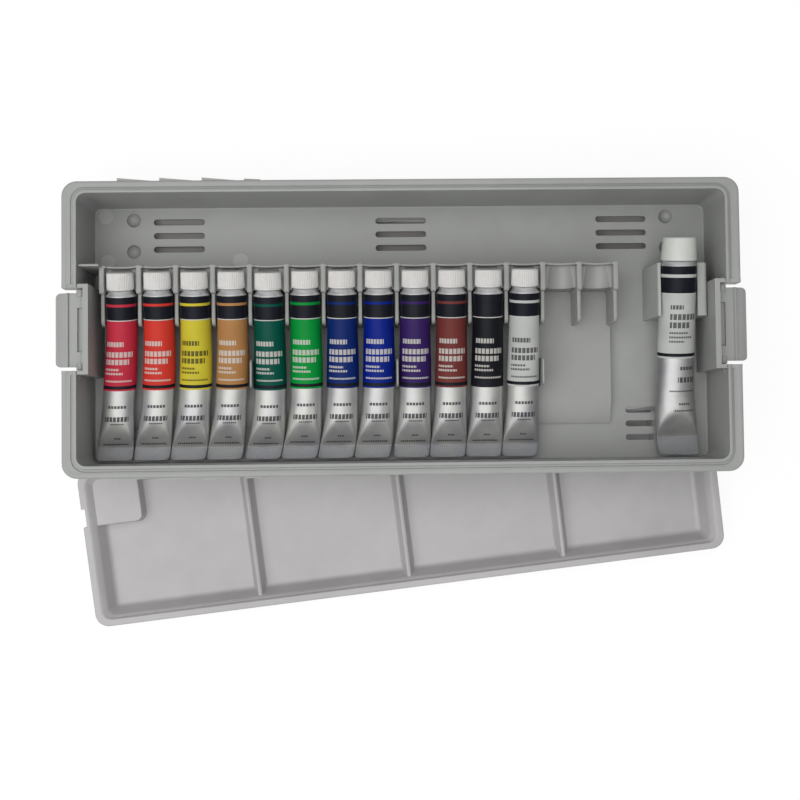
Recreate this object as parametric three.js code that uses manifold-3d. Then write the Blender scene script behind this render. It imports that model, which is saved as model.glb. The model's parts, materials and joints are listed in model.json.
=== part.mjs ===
// An open paint box: a moulded tray with a rack of twelve small paint tubes, a cradle with one
// large tube, two swinging latches, and the loose mixing palette that the tray's front leans on.
// Millimetres, +Z up. The tray's long side runs along X, and its front edge faces -Y.
import * as THREE from 'three';
import { mergeVertices } from 'three/addons/utils/BufferGeometryUtils.js';
import Module from 'manifold-3d';

const wasm = await Module();
wasm.setup();

// Shared clearances and facets
const restGap = 0.3;
const cutOverrun = 1;
const cornerSteps = 2;
const barEndSteps = 2;
const roundSegments = 12;
const tubeSegments = 16;
const capSegments = 20;

// Small tubes and their screw caps. A tube lies with its shoulder higher than its flat tail.
const smallTubeCount = 12;
const smallTube = {
  radius: 7.65,
  bodyLength: 84.4,
  rise: 19.5,
  tailHeight: 4.7,
  shoulderLength: 3,
  shoulderNeck: 5.8,
  nozzleRadius: 4.2,
  nozzleLength: 7.4,
  straightLength: 30,
  bulge: 0.8,
  tailWidth: 18.6,
  tailThickness: 1.4,
};
const smallCap = { baseRadius: 6.85, topRadius: 6.6, length: 8.8 };
const firstTailShift = -6;
const tailFan = 0.4;

// Large tube and its cap
const largeTube = {
  radius: 9.1,
  bodyLength: 98.3,
  rise: 19.5,
  tailHeight: 3.7,
  shoulderLength: 2.4,
  shoulderNeck: 8,
  nozzleRadius: 5.5,
  nozzleLength: 9.8,
  straightLength: 42,
  bulge: 1.2,
  tailWidth: 21.8,
  tailThickness: 1.6,
};
const largeCap = { baseRadius: 9, topRadius: 8.3, length: 11.8 };
const largeTailShift = 3.4;

// Latch recesses in the middle of both ends of the tray
const recessWidth = 41;
const recessDepth = 10.8;
const recessWall = 2.7;
const recessSide = 2;
const pivotInset = 8.2;
const pivotDrop = 6;

// Tube rack: bed, posts, fins, pegs and a scalloped back wall. Reaches run from the shoulders.
const rackBays = 14;
const bayGap = 3.2;
const rackPitch = 2 * smallTube.radius + bayGap;
const rackInset = 4.5;
const rackWall = 1.6;
const bedHeight = 5;
const bedMargin = 2;
const bedReach = 49.7;
const bedFootReach = 62.5;
const postThickness = 2.7;
const postTop = 27;
const postAhead = 1.5;
const finThickness = 1.9;
const finTop = 24;
const finReach = 14.5;
const backWall = 1.2;
const backWallBow = 1;
const saddleAhead = 3.3;
const saddleTop = 22.5;
const saddleHollow = 14;
const sideRibTop = 33;
const pegThickness = 1.7;
const pegTop = 23.7;
const pegRearReach = 32;
const pegFrontReach = 46.1;
const pegDividers = [4, 8, 12];

// Cradle that the large tube lies in
const cradleGap = 19.5;
const cradleWall = 1.6;
const cradleRightWall = 5;
const cradleFootLeft = 2.3;
const cradleTop = 23.7;
const cradleHollow = 6;
const cradleAhead = 1.4;
const cradleReach = 25.6;
const cradleChannel = largeTube.radius + restGap;

// Tray: the tub, its flanged rim and the ridge that the palette sits round
const trayHeight = 38;
const trayCorner = 7.5;
const trayInnerCorner = 4.5;
const trayWall = 1.9;
const trayFloor = 2;
const trayDraft = 1.8;
const trayEndRim = 7.6;
const traySideRim = 6.2;
const trayFlange = 1.8;
const traySkirt = 9;
const traySkirtWall = 1.6;
const ridgeWidth = 1.3;
const ridgeHeight = 0.9;
const grooveWidth = 1.8;
const grooveDepth = 0.7;
const tailGap = 2.3;
const largeTailGap = 2;
const rearRoom = 34.9;

// The tray is as long and as deep as what lies in it asks for
const rackLength = rackBays * rackPitch;
const cradleLength = cradleFootLeft + cradleWall + 2 * cradleChannel + cradleRightWall;
const betweenRecesses = rackInset + rackLength + cradleGap + cradleLength + restGap;
const trayLength = betweenRecesses + 2 * (recessDepth + recessWall);
const smallTilt = Math.asin(smallTube.rise / smallTube.bodyLength);
const smallRun = smallTube.bodyLength * Math.cos(smallTilt);
const capAlong = (smallTube.shoulderLength + restGap + smallCap.length) * Math.cos(smallTilt);
const capReach = capAlong + smallCap.topRadius * Math.sin(smallTilt);
const rackRear = capReach + restGap + backWall + backWallBow;
const trayDepth = 2 * traySideRim + tailGap + smallRun + rackRear + rearRoom;

// Feet: hollow bumps, two near each corner
const footRadius = 3.65;
const footHeight = 2.2;
const footWall = 1.1;
const footFromEnd = 21.1;
const footFromSide = 7.1;
const footPitch = 16.6;

// Floor vents: groups of rounded slots
const ventLength = 26.8;
const ventWidth = 3.2;
const ventPitch = 7.2;
const ventsInGroup = 3;
const ventFromEnd = 44.9;
const ventFromRear = 15.4;
const frontVentFromEnd = 30.7;
const frontVentFromFront = 18.55;

// Wedge-shaped catches along both long sides
const catchPitch = 21;
const catchCount = 3;
const catchLength = 17;
const catchProud = 1.5;
const catchFromEnd = 27.4;
const catchBumpLength = 8;
const catchBumpProud = 0.8;

// Latches: a barbed clip on two pins
const latchWidth = 36.9;
const latchThickness = 2;
const latchInboard = 2;
const latchBarbReach = 8;
const latchBarbWidth = 1.6;
const latchBarbHeight = 1.7;
const latchReach = 13.4;
const latchLipDrop = 3.2;
const latchPinRadius = 1.2;
const latchPinClearance = 0.3;
const latchSlotLength = 22;
const latchSlotWidth = 2.5;

// Palette: a shallow flanged tray with four wells, as long as the tray's ridge asks for
const paletteShorter = 2;
const paletteLength = trayLength - paletteShorter;
const paletteDepth = 83;
const paletteHeight = 12;
const paletteCorner = 7;
const paletteInnerCorner = 4;
const paletteWall = 1.6;
const paletteFloor = 1.6;
const paletteDraft = 4.7;
const paletteEndRim = 5.4;
const paletteSideRim = 4;
const paletteFlange = 1.6;
const paletteSkirt = 4;
const paletteSkirtWall = 1.4;
const ribCount = 3;
const endWellExtra = 3.8;
const ribPitch = (paletteLength - 2 * paletteEndRim - 2 * endWellExtra) / (ribCount + 1);
const ribHeight = 8.6;
const ribFootWidth = 5.4;
const ribTopWidth = 2.6;
const cornerBlockLength = 27;
const cornerBlockDepth = 21;
const cornerBlockCorner = 5;
const cornerBlockDrop = 3;
const tabNotchLength = 9.6;
const tabNotchDepth = 2;
const tabNotchFromRear = 20;

// How the pieces lie: the palette is turned, and the tray leans on its rear rim
const paletteTurn = THREE.MathUtils.degToRad(6.5);
const trayBehindY = 93.6;

const trayLedge = trayHeight - ridgeHeight;
const openingLength = trayLength - 2 * trayEndRim;
const openingDepth = trayDepth - 2 * traySideRim;
const footX = openingLength / 2 - footFromEnd;
const footOuterY = openingDepth / 2 - footFromSide;
const footInnerY = footOuterY - footPitch;
const pivotX = trayLength / 2 - pivotInset;
const pivotZ = trayHeight - pivotDrop;
const recessInnerX = trayLength / 2 - recessDepth - recessWall;

// Where the tubes' shoulders end, and how high their axes lie there
const rackSeat = trayFloor + restGap;
const bedTop = rackSeat + bedHeight;
const smallShoulderY = -openingDepth / 2 + tailGap + smallRun;
const smallShoulderZ = rackSeat + smallTube.tailHeight + smallTube.rise;
const rackFirstX = -recessInnerX + rackInset;
const postFrontY = smallShoulderY + postAhead;
const postRearY = smallShoulderY + rackRear;
const largeTilt = Math.asin(largeTube.rise / largeTube.bodyLength);
const largeShoulderY = -openingDepth / 2 + largeTailGap + largeTube.bodyLength * Math.cos(largeTilt);
const largeShoulderZ = rackSeat + largeTube.tailHeight + largeTube.rise;
const largeTubeX = recessInnerX - restGap - cradleRightWall - cradleChannel;

function material(color, roughness, metalness = 0) {
  return new THREE.MeshStandardMaterial({ color, roughness, metalness });
}

function toSolid(geometry) {
  const bare = geometry.clone();
  bare.deleteAttribute('normal');
  bare.deleteAttribute('uv');
  const merged = mergeVertices(bare);
  const vertProperties = new Float32Array(merged.attributes.position.array);
  const triVerts = new Uint32Array(merged.index.array);
  return new wasm.Manifold(new wasm.Mesh({ numProp: 3, vertProperties, triVerts }));
}

function toGeometry(solid) {
  const mesh = solid.getMesh();
  const geometry = new THREE.BufferGeometry();
  geometry.setAttribute('position', new THREE.BufferAttribute(mesh.vertProperties, 3));
  geometry.setIndex(new THREE.BufferAttribute(mesh.triVerts, 1));
  return geometry;
}

function named(name, geometry, finish) {
  const mesh = new THREE.Mesh(geometry, finish);
  mesh.name = name;
  return mesh;
}

function roundedRectangle(length, depth, corner) {
  const x = length / 2 - corner;
  const y = depth / 2 - corner;
  const shape = new THREE.Shape();
  shape.absarc(x, -y, corner, -Math.PI / 2, 0);
  shape.absarc(x, y, corner, 0, Math.PI / 2);
  shape.absarc(-x, y, corner, Math.PI / 2, Math.PI);
  shape.absarc(-x, -y, corner, Math.PI, 1.5 * Math.PI);
  return shape;
}

function prism(shape, bottom, top, curveSegments = cornerSteps) {
  const depth = top - bottom;
  const geometry = new THREE.ExtrudeGeometry(shape, { depth, bevelEnabled: false, curveSegments });
  return geometry.translate(0, 0, bottom);
}

function box(x0, x1, y0, y1, z0, z1) {
  const geometry = new THREE.BoxGeometry(x1 - x0, y1 - y0, z1 - z0);
  return toSolid(geometry.translate((x0 + x1) / 2, (y0 + y1) / 2, (z0 + z1) / 2));
}

// A rounded plate between two heights.
function plate(length, depth, corner, bottom, top) {
  return toSolid(prism(roundedRectangle(length, depth, corner), bottom, top));
}

// A rounded block of the given size at its top, drawn in by draft on every side at its bottom.
function draftedBlock(length, depth, corner, bottom, top, draft) {
  const geometry = prism(roundedRectangle(length, depth, corner), bottom, top);
  const place = geometry.attributes.position;
  const middle = (bottom + top) / 2;
  for (let i = 0; i < place.count; i += 1) {
    if (place.getZ(i) < middle) {
      place.setX(i, place.getX(i) * (1 - (2 * draft) / length));
      place.setY(i, place.getY(i) * (1 - (2 * draft) / depth));
    }
  }
  return toSolid(geometry);
}

// A section drawn in X and Z, carried along Y from the rear place to the front one.
function alongY(points, rearY, frontY) {
  const shape = new THREE.Shape(points.map(([x, z]) => new THREE.Vector2(x, z)));
  const geometry = prism(shape, 0, rearY - frontY);
  return toSolid(geometry.rotateX(Math.PI / 2).translate(0, rearY, 0));
}

// A flat bar with round ends, lying along X.
function roundBar(length, width, bottom, top) {
  const shape = new THREE.Shape();
  const reach = (length - width) / 2;
  shape.absarc(reach, 0, width / 2, -Math.PI / 2, Math.PI / 2);
  shape.absarc(-reach, 0, width / 2, Math.PI / 2, 1.5 * Math.PI);
  return toSolid(prism(shape, bottom, top, barEndSteps));
}

function pinAlongY(radius, y0, y1, segments = roundSegments) {
  const geometry = new THREE.CylinderGeometry(radius, radius, y1 - y0, segments);
  return toSolid(geometry.translate(0, (y0 + y1) / 2, 0));
}

// A tub with a flange round its mouth and a short skirt hanging from the flange's edge.
function flangedTub(size) {
  const mouthLength = size.length - 2 * size.endRim;
  const mouthDepth = size.depth - 2 * size.sideRim;
  const skirtBottom = size.height - size.skirt;
  const flangeBottom = size.height - size.flange;
  const rim = plate(size.length, size.depth, size.corner, skirtBottom, size.height);
  const underRim = plate(
    size.length - 2 * size.skirtWall,
    size.depth - 2 * size.skirtWall,
    size.corner - size.skirtWall,
    skirtBottom - cutOverrun,
    flangeBottom,
  );
  const tub = draftedBlock(
    mouthLength + 2 * size.wall,
    mouthDepth + 2 * size.wall,
    size.innerCorner + size.wall,
    0,
    size.height,
    size.draft,
  );
  const hollow = draftedBlock(
    mouthLength,
    mouthDepth,
    size.innerCorner,
    size.floor,
    size.height + cutOverrun,
    size.draft,
  );
  return { shell: rim.subtract(underRim).add(tub), tub, hollow };
}

function trayRidge(body) {
  const ridgeLength = openingLength + 2 * ridgeWidth;
  const ridgeDepth = openingDepth + 2 * ridgeWidth;
  const ridgeCorner = trayInnerCorner + ridgeWidth;
  const ridgeRoot = trayLedge - (grooveDepth + trayFlange) / 2;
  const ridge = plate(ridgeLength, ridgeDepth, ridgeCorner, ridgeRoot, trayHeight);
  const groove = plate(
    ridgeLength + 2 * grooveWidth,
    ridgeDepth + 2 * grooveWidth,
    ridgeCorner + grooveWidth,
    trayLedge - grooveDepth,
    trayLedge + cutOverrun,
  );
  return body.subtract(groove).add(ridge);
}

function latchRecess(body, side) {
  const halfWidth = recessWidth / 2;
  const outerX = trayLength / 2 - recessDepth;
  const skirtBottom = trayLedge - traySkirt;
  const tubX = openingLength / 2 + trayWall - trayDraft;
  const span = halfWidth + recessSide;
  const hole = pinAlongY(latchPinRadius + latchPinClearance, -span - cutOverrun, span + cutOverrun);
  const wall = box(outerX - recessWall, tubX, -span, span, 0, trayHeight);
  const cheeks = box(outerX, trayLength / 2, -span, span, skirtBottom, trayLedge);
  const beyond = trayLength / 2 + cutOverrun;
  const notch = box(outerX, beyond, -halfWidth, halfWidth, -cutOverrun, trayHeight + cutOverrun);
  const turned = (solid) => (side > 0 ? solid : solid.rotate([0, 0, 180]));
  return body
    .add(turned(wall.add(cheeks)))
    .subtract(turned(notch))
    .subtract(turned(hole.translate([pivotX, 0, pivotZ])));
}

function trayVents() {
  const slot = roundBar(ventLength, ventWidth, -cutOverrun, trayFloor + cutOverrun);
  const sideX = openingLength / 2 - ventFromEnd;
  const rearY = openingDepth / 2 - ventFromRear;
  const groups = [
    [-sideX, rearY],
    [0, rearY],
    [sideX, rearY],
    [openingLength / 2 - frontVentFromEnd, frontVentFromFront - openingDepth / 2],
  ];
  const slots = [];
  for (const [x, y] of groups) {
    for (let row = 0; row < ventsInGroup; row += 1) {
      const rowY = y + (row - (ventsInGroup - 1) / 2) * ventPitch;
      slots.push(slot.translate([x, rowY, 0]));
    }
  }
  return slots;
}

function trayFeet() {
  const bumpHeight = footHeight + footWall;
  const foot = new THREE.CylinderGeometry(footRadius - footWall, footRadius, bumpHeight, roundSegments);
  foot.rotateX(-Math.PI / 2).translate(0, 0, footWall - bumpHeight / 2);
  const hollowDepth = trayFloor + footHeight - footWall;
  const topRadius = footRadius - footWall / 2;
  const hollow = new THREE.CylinderGeometry(
    footRadius - 2 * footWall,
    topRadius,
    hollowDepth + cutOverrun,
    roundSegments,
  );
  hollow.rotateX(-Math.PI / 2);
  hollow.translate(0, 0, trayFloor + cutOverrun - (hollowDepth + cutOverrun) / 2);
  const feet = [];
  for (const x of [-footX, footX]) {
    for (const y of [-footOuterY, -footInnerY, footInnerY, footOuterY]) {
      const place = [x, y, 0];
      feet.push({ bump: toSolid(foot).translate(place), dimple: toSolid(hollow).translate(place) });
    }
  }
  return feet;
}

// Three wedges that step up at the left and run out to the right, and a low bump after them.
function trayCatches() {
  const outline = new THREE.Shape();
  const root = -traySkirtWall / 2;
  outline.moveTo(0, root);
  outline.lineTo(catchLength, root);
  outline.lineTo(catchLength, 0);
  outline.lineTo(0, catchProud);
  const bump = new THREE.Shape();
  bump.moveTo(0, root);
  bump.lineTo(catchBumpLength, root);
  bump.lineTo(catchBumpLength, catchBumpProud / 2);
  bump.lineTo(0, catchBumpProud);
  const bottom = trayLedge - traySkirt;
  const top = trayLedge - trayFlange / 2;
  const wedge = toSolid(prism(outline, bottom, top));
  const low = toSolid(prism(bump, bottom, top));
  const startX = catchFromEnd - trayLength / 2;
  const row = [];
  for (let i = 0; i < catchCount; i += 1) {
    row.push(wedge.translate([startX + i * catchPitch, trayDepth / 2, 0]));
  }
  row.push(low.translate([startX + catchCount * catchPitch, trayDepth / 2, 0]));
  return [...row, ...row.map((solid) => solid.mirror([0, 1, 0]))];
}

function buildTray() {
  const { shell, hollow } = flangedTub({
    length: trayLength,
    depth: trayDepth,
    height: trayLedge,
    corner: trayCorner,
    innerCorner: trayInnerCorner,
    endRim: trayEndRim,
    sideRim: traySideRim,
    wall: trayWall,
    floor: trayFloor,
    draft: trayDraft,
    flange: trayFlange,
    skirt: traySkirt,
    skirtWall: traySkirtWall,
  });
  let body = trayRidge(shell).subtract(hollow);
  body = latchRecess(latchRecess(body, 1), -1);
  for (const { bump, dimple } of trayFeet()) {
    body = body.add(bump).subtract(dimple);
  }
  for (const slot of trayVents()) {
    body = body.subtract(slot);
  }
  for (const wedge of trayCatches()) {
    body = body.add(wedge);
  }
  return toGeometry(body);
}

// The latch lies flat here: +X points away from the tray and the pins' axis is Y.
function buildLatch() {
  const half = latchThickness / 2;
  const barbX = latchBarbReach - latchBarbWidth / 2;
  const barbTop = half + latchBarbHeight;
  const section = [
    [-latchInboard, -half],
    [latchBarbReach - half, -half],
    [latchReach - latchThickness, -latchLipDrop],
    [latchReach, -latchLipDrop],
    [latchReach - half, -half],
    [latchBarbReach + latchBarbWidth, half],
    [latchBarbReach + latchBarbWidth / 2, barbTop],
    [barbX, barbTop],
    [barbX - half, half],
    [-latchInboard, half],
  ];
  const clip = alongY(section, latchWidth / 2, -latchWidth / 2);
  const pinReach = recessWidth / 2 + recessSide - restGap;
  const pins = pinAlongY(latchPinRadius, -pinReach, pinReach);
  const slotHalf = latchSlotWidth / 2;
  const slotEnd = latchSlotLength / 2;
  const tall = latchPinRadius + cutOverrun;
  const slot = box(-slotHalf, slotHalf, -slotEnd, slotEnd, -tall, tall);
  return toGeometry(clip.add(pins).subtract(slot));
}

function dividerX(index) {
  return rackFirstX + index * rackPitch;
}

function rackBed() {
  const left = rackFirstX - bedMargin;
  const right = dividerX(rackBays) + bedMargin;
  const front = smallShoulderY - bedReach;
  const foot = smallShoulderY - bedFootReach;
  const section = [
    [foot, rackSeat],
    [foot, rackSeat + rackWall],
    [front, bedTop],
    [postFrontY, bedTop],
    [postFrontY, rackSeat],
  ];
  const shape = new THREE.Shape(section.map(([y, z]) => new THREE.Vector2(y, z)));
  const bed = toSolid(prism(shape, left, right).rotateX(Math.PI / 2).rotateZ(Math.PI / 2));
  const under = box(
    left + rackWall,
    right - rackWall,
    front,
    postFrontY - rackWall,
    rackSeat - cutOverrun,
    bedTop - rackWall,
  );
  return bed.subtract(under);
}

function rackDivider(index) {
  const x = dividerX(index);
  const half = postThickness / 2;
  const post = box(x - half, x + half, postFrontY, postRearY, rackSeat, rackSeat + postTop);
  const finHalf = finThickness / 2;
  const finFrontY = smallShoulderY - finReach;
  const finRearY = postFrontY + postThickness / 2;
  const bottom = bedTop - rackWall / 2;
  const fin = box(x - finHalf, x + finHalf, finFrontY, finRearY, bottom, rackSeat + finTop);
  return post.add(fin);
}

function rackPeg(index) {
  const x = dividerX(index);
  const half = pegThickness / 2;
  const frontY = smallShoulderY - pegFrontReach;
  const rearY = smallShoulderY - pegRearReach;
  return box(x - half, x + half, frontY, rearY, bedTop - rackWall / 2, rackSeat + pegTop);
}

// The back wall of one bay bows forwards towards the cap.
function rackBayWall(index) {
  const x0 = dividerX(index);
  const x1 = dividerX(index + 1);
  const middle = (x0 + x1) / 2;
  const rear = postRearY;
  const front = rear - backWall;
  const shape = new THREE.Shape();
  shape.moveTo(x0, rear);
  shape.quadraticCurveTo(middle, rear - 2 * backWallBow, x1, rear);
  shape.lineTo(x1, front);
  shape.quadraticCurveTo(middle, front - 2 * backWallBow, x0, front);
  return toSolid(prism(shape, rackSeat, rackSeat + postTop - rackWall, cornerSteps));
}

// A round bar on a tube's axis, from its shoulder's end forwards and back, to cut its bed with.
function tubeChannel(radius, x, shoulderY, shoulderZ, tilt, reach) {
  const channel = pinAlongY(radius, -reach, reach, capSegments);
  return channel.rotate([THREE.MathUtils.radToDeg(tilt), 0, 0]).translate([x, shoulderY, shoulderZ]);
}

// One block under all caps, hollow from below, with a round channel for each cap.
function rackSaddles() {
  const left = dividerX(0);
  const right = dividerX(rackBays);
  const front = smallShoulderY + saddleAhead;
  const rear = postRearY - backWall;
  const block = box(left, right, postFrontY - rackWall / 2, rear, rackSeat, bedTop)
    .add(box(left, right, front, rear, rackSeat, rackSeat + saddleTop));
  const hollow = box(
    left + rackWall,
    right - rackWall,
    front + rackWall,
    rear - rackWall,
    rackSeat - cutOverrun,
    rackSeat + saddleHollow,
  );
  let saddles = block.subtract(hollow);
  for (let i = 0; i < rackBays; i += 1) {
    const x = (dividerX(i) + dividerX(i + 1)) / 2;
    const radius = smallCap.baseRadius + restGap;
    const channel = tubeChannel(radius, x, smallShoulderY, smallShoulderZ, smallTilt, 3 * capReach);
    saddles = saddles.subtract(channel.trimByPlane([0, 1, 0], postFrontY));
  }
  return saddles;
}

// The rib at the left end reaches from the first post to the tray's leaning wall.
function rackSideRib() {
  const footX = -(openingLength / 2 - trayDraft - restGap);
  const top = rackSeat + sideRibTop;
  const lean = (trayDraft * (top - trayFloor)) / (trayHeight - trayFloor);
  const section = [
    [footX, rackSeat],
    [rackFirstX, rackSeat],
    [rackFirstX, top],
    [footX - lean, top],
  ];
  return alongY(section, postRearY, postRearY - backWall);
}

function buildRack() {
  let rack = rackBed().add(rackSaddles());
  for (let i = 0; i <= rackBays; i += 1) {
    rack = rack.add(rackDivider(i));
  }
  for (let i = 0; i < rackBays; i += 1) {
    rack = rack.add(rackBayWall(i));
  }
  for (const index of pegDividers) {
    rack = rack.add(rackPeg(index));
  }
  return toGeometry(rack.add(rackSideRib()));
}

// The cradle's two walls stand round the large tube, with a round channel between them.
function buildCradle() {
  const wallX = cradleChannel + cradleWall;
  const rightX = cradleChannel + cradleRightWall;
  const rear = largeShoulderY + cradleAhead;
  const front = largeShoulderY - cradleReach;
  const section = [
    [-wallX - cradleFootLeft, 0],
    [rightX, 0],
    [rightX, cradleTop],
    [-wallX, cradleTop],
  ];
  const block = alongY(section, rear, front);
  const shoulderZ = largeShoulderZ - rackSeat;
  const round = tubeChannel(cradleChannel, 0, largeShoulderY, shoulderZ, largeTilt, 2 * cradleReach);
  const mouth = box(-cradleChannel, cradleChannel, -cutOverrun, rear - front + cutOverrun, 0, cradleTop)
    .rotate([THREE.MathUtils.radToDeg(largeTilt), 0, 0])
    .translate([0, front, shoulderZ - cradleReach * Math.tan(largeTilt)]);
  const hollow = box(
    -wallX,
    wallX,
    front + cradleWall,
    rear - cradleWall,
    -cutOverrun,
    cradleHollow,
  );
  return toGeometry(block.subtract(round).subtract(mouth).subtract(hollow));
}

// A collapsible tube on the Y axis: threaded nozzle at +Y, shoulder ending at Y = 0, and a body
// that goes from round to a flat folded tail at -Y. The tail may lie off to one side.
function buildTube(size, tailShift) {
  const nozzleEnd = size.shoulderLength + size.nozzleLength;
  const tailStart = -size.straightLength;
  const flattenSteps = 6;
  const profile = [
    new THREE.Vector2(0, -size.bodyLength),
    new THREE.Vector2(size.radius, -size.bodyLength),
  ];
  for (let i = 1; i <= flattenSteps; i += 1) {
    const y = -size.bodyLength + (i / flattenSteps) * (size.bodyLength - size.straightLength);
    profile.push(new THREE.Vector2(size.radius, y));
  }
  profile.push(new THREE.Vector2(size.radius, 0));
  profile.push(new THREE.Vector2(size.shoulderNeck, size.shoulderLength));
  profile.push(new THREE.Vector2(size.nozzleRadius, size.shoulderLength));
  profile.push(new THREE.Vector2(size.nozzleRadius, nozzleEnd));
  profile.push(new THREE.Vector2(0, nozzleEnd));
  const geometry = new THREE.LatheGeometry(profile, tubeSegments);
  const place = geometry.attributes.position;
  const width = 2 * size.radius;
  const bulgeEnd = 0.45;
  for (let i = 0; i < place.count; i += 1) {
    const share = THREE.MathUtils.clamp(
      (tailStart - place.getY(i)) / (size.bodyLength - size.straightLength),
      0,
      1,
    );
    const bulge = size.bulge * THREE.MathUtils.smoothstep(share, 0, bulgeEnd);
    const flare = (size.tailWidth - width - size.bulge) * share ** 4;
    const widen = 1 + (bulge + flare) / width;
    const flat = Math.sin((share * Math.PI) / 2) ** 2;
    const thin = THREE.MathUtils.lerp(1, size.tailThickness / width, flat);
    place.setX(i, place.getX(i) * widen + tailShift * share ** 3);
    place.setZ(i, place.getZ(i) * thin);
  }
  return toGeometry(toSolid(geometry));
}

// A screw cap on the Y axis, open towards -Y where it starts at Y = 0.
function buildCap(cap, tube) {
  const bore = tube.nozzleRadius + restGap;
  const boreDepth = tube.nozzleLength;
  const profile = [
    new THREE.Vector2(0, boreDepth),
    new THREE.Vector2(bore, boreDepth),
    new THREE.Vector2(bore, 0),
    new THREE.Vector2(cap.baseRadius, 0),
    new THREE.Vector2(cap.topRadius, cap.length),
    new THREE.Vector2(0, cap.length),
  ];
  return toGeometry(toSolid(new THREE.LatheGeometry(profile, capSegments)));
}

function buildPalette() {
  const { shell, tub, hollow } = flangedTub({
    length: paletteLength,
    depth: paletteDepth,
    height: paletteHeight,
    corner: paletteCorner,
    innerCorner: paletteInnerCorner,
    endRim: paletteEndRim,
    sideRim: paletteSideRim,
    wall: paletteWall,
    floor: paletteFloor,
    draft: paletteDraft,
    flange: paletteFlange,
    skirt: paletteSkirt,
    skirtWall: paletteSkirtWall,
  });
  const halfDepth = paletteDepth / 2;
  let inside = null;
  for (let i = 0; i < ribCount; i += 1) {
    const x = (i - (ribCount - 1) / 2) * ribPitch;
    const section = [
      [x - ribFootWidth / 2, 0],
      [x + ribFootWidth / 2, 0],
      [x + ribTopWidth / 2, ribHeight],
      [x - ribTopWidth / 2, ribHeight],
    ];
    const rib = alongY(section, halfDepth, -halfDepth);
    inside = inside ? inside.add(rib) : rib;
  }
  const blockX = (paletteLength - cornerBlockLength) / 2 - paletteEndRim;
  const blockY = (paletteDepth - cornerBlockDepth) / 2 - paletteSideRim;
  const blockTop = paletteHeight - cornerBlockDrop;
  for (const side of [-1, 1]) {
    const block = plate(cornerBlockLength, cornerBlockDepth, cornerBlockCorner, 0, blockTop);
    inside = inside.add(block.translate([side * blockX, blockY, 0]));
  }
  const notchRear = halfDepth - tabNotchFromRear;
  const notch = box(
    -paletteLength / 2 - cutOverrun,
    -paletteLength / 2 + tabNotchDepth,
    notchRear - tabNotchLength,
    notchRear,
    paletteHeight - paletteSkirt - cutOverrun,
    paletteHeight + cutOverrun,
  );
  return toGeometry(shell.subtract(hollow).add(inside.intersect(tub)).subtract(notch));
}

const trayGrey = material(0x9a9d9a, 0.55);
const rackGrey = material(0xa7aaa7, 0.55);
const paletteGrey = material(0xc6c8c4, 0.45);
const capWhite = material(0xe4e4e0, 0.5);
const paintColours = [
  0xb31f38, 0xd1331f, 0xccbd33, 0xb37a47, 0x004d38, 0x008c33,
  0x0d1f73, 0x00148c, 0x2e0d59, 0x6b211a, 0x0d0d12, 0xc7c9cc,
];

const onTable = new THREE.Group();
const paintBox = new THREE.Group();

const palette = named('palette', buildPalette(), paletteGrey);
palette.rotation.z = paletteTurn;
paintBox.add(palette);

// The tray turns about the palette's rear rim until its rear left foot meets the table.
const rimMiddle = new THREE.Vector3(0, paletteDepth / 2, paletteHeight + restGap);
rimMiddle.applyAxisAngle(new THREE.Vector3(0, 0, 1), paletteTurn);
const footAway = new THREE.Vector3(-footX, trayBehindY + footOuterY, 0).sub(rimMiddle);
const footReach = -footAway.x * Math.sin(paletteTurn) + footAway.y * Math.cos(paletteTurn);
const footEdge = footReach + footRadius - footWall;
const leanDrop = Math.asin(rimMiddle.z / Math.hypot(footEdge, footHeight));
const trayLean = leanDrop - Math.atan2(footHeight, footEdge);

const rimLine = new THREE.Group();
rimLine.position.copy(rimMiddle);
rimLine.rotation.z = paletteTurn;
const leaning = new THREE.Group();
leaning.rotation.x = -trayLean;
const unturned = new THREE.Group();
unturned.rotation.z = -paletteTurn;
const caseGroup = new THREE.Group();
caseGroup.position.set(-rimMiddle.x, trayBehindY - rimMiddle.y, 0);
unturned.add(caseGroup);
leaning.add(unturned);
rimLine.add(leaning);
paintBox.add(rimLine);

caseGroup.add(named('case_tray', buildTray(), trayGrey));
caseGroup.add(named('tube_rack', buildRack(), rackGrey));

const cradle = named('large_tube_cradle', buildCradle(), rackGrey);
cradle.position.set(largeTubeX, 0, rackSeat);
caseGroup.add(cradle);

const latchGeometry = buildLatch();
for (const [name, side] of [['latch_left', -1], ['latch_right', 1]]) {
  const latch = named(name, latchGeometry, rackGrey);
  latch.position.set(side * pivotX, 0, pivotZ);
  latch.rotation.z = side > 0 ? 0 : Math.PI;
  caseGroup.add(latch);
}

function addTube(names, geometries, tube, colour, shoulder, tilt) {
  const lying = new THREE.Group();
  lying.position.copy(shoulder);
  lying.rotation.x = tilt;
  const body = named(names[0], geometries[0], material(colour, 0.35));
  const cap = named(names[1], geometries[1], capWhite);
  cap.position.y = tube.shoulderLength + restGap;
  lying.add(body, cap);
  caseGroup.add(lying);
}

const smallCapGeometry = buildCap(smallCap, smallTube);
for (let i = 0; i < smallTubeCount; i += 1) {
  const number = String(i + 1).padStart(2, '0');
  const names = [`tube_${number}`, `cap_${number}`];
  const x = (dividerX(i) + dividerX(i + 1)) / 2;
  const shoulder = new THREE.Vector3(x, smallShoulderY, smallShoulderZ);
  const geometries = [buildTube(smallTube, firstTailShift + i * tailFan), smallCapGeometry];
  addTube(names, geometries, smallTube, paintColours[i], shoulder, smallTilt);
}

const largeNames = ['large_tube', 'large_tube_cap'];
const largeGeometries = [buildTube(largeTube, largeTailShift), buildCap(largeCap, largeTube)];
const largeShoulder = new THREE.Vector3(largeTubeX, largeShoulderY, largeShoulderZ);
const largeColour = paintColours[smallTubeCount - 1];
addTube(largeNames, largeGeometries, largeTube, largeColour, largeShoulder, largeTilt);

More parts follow.
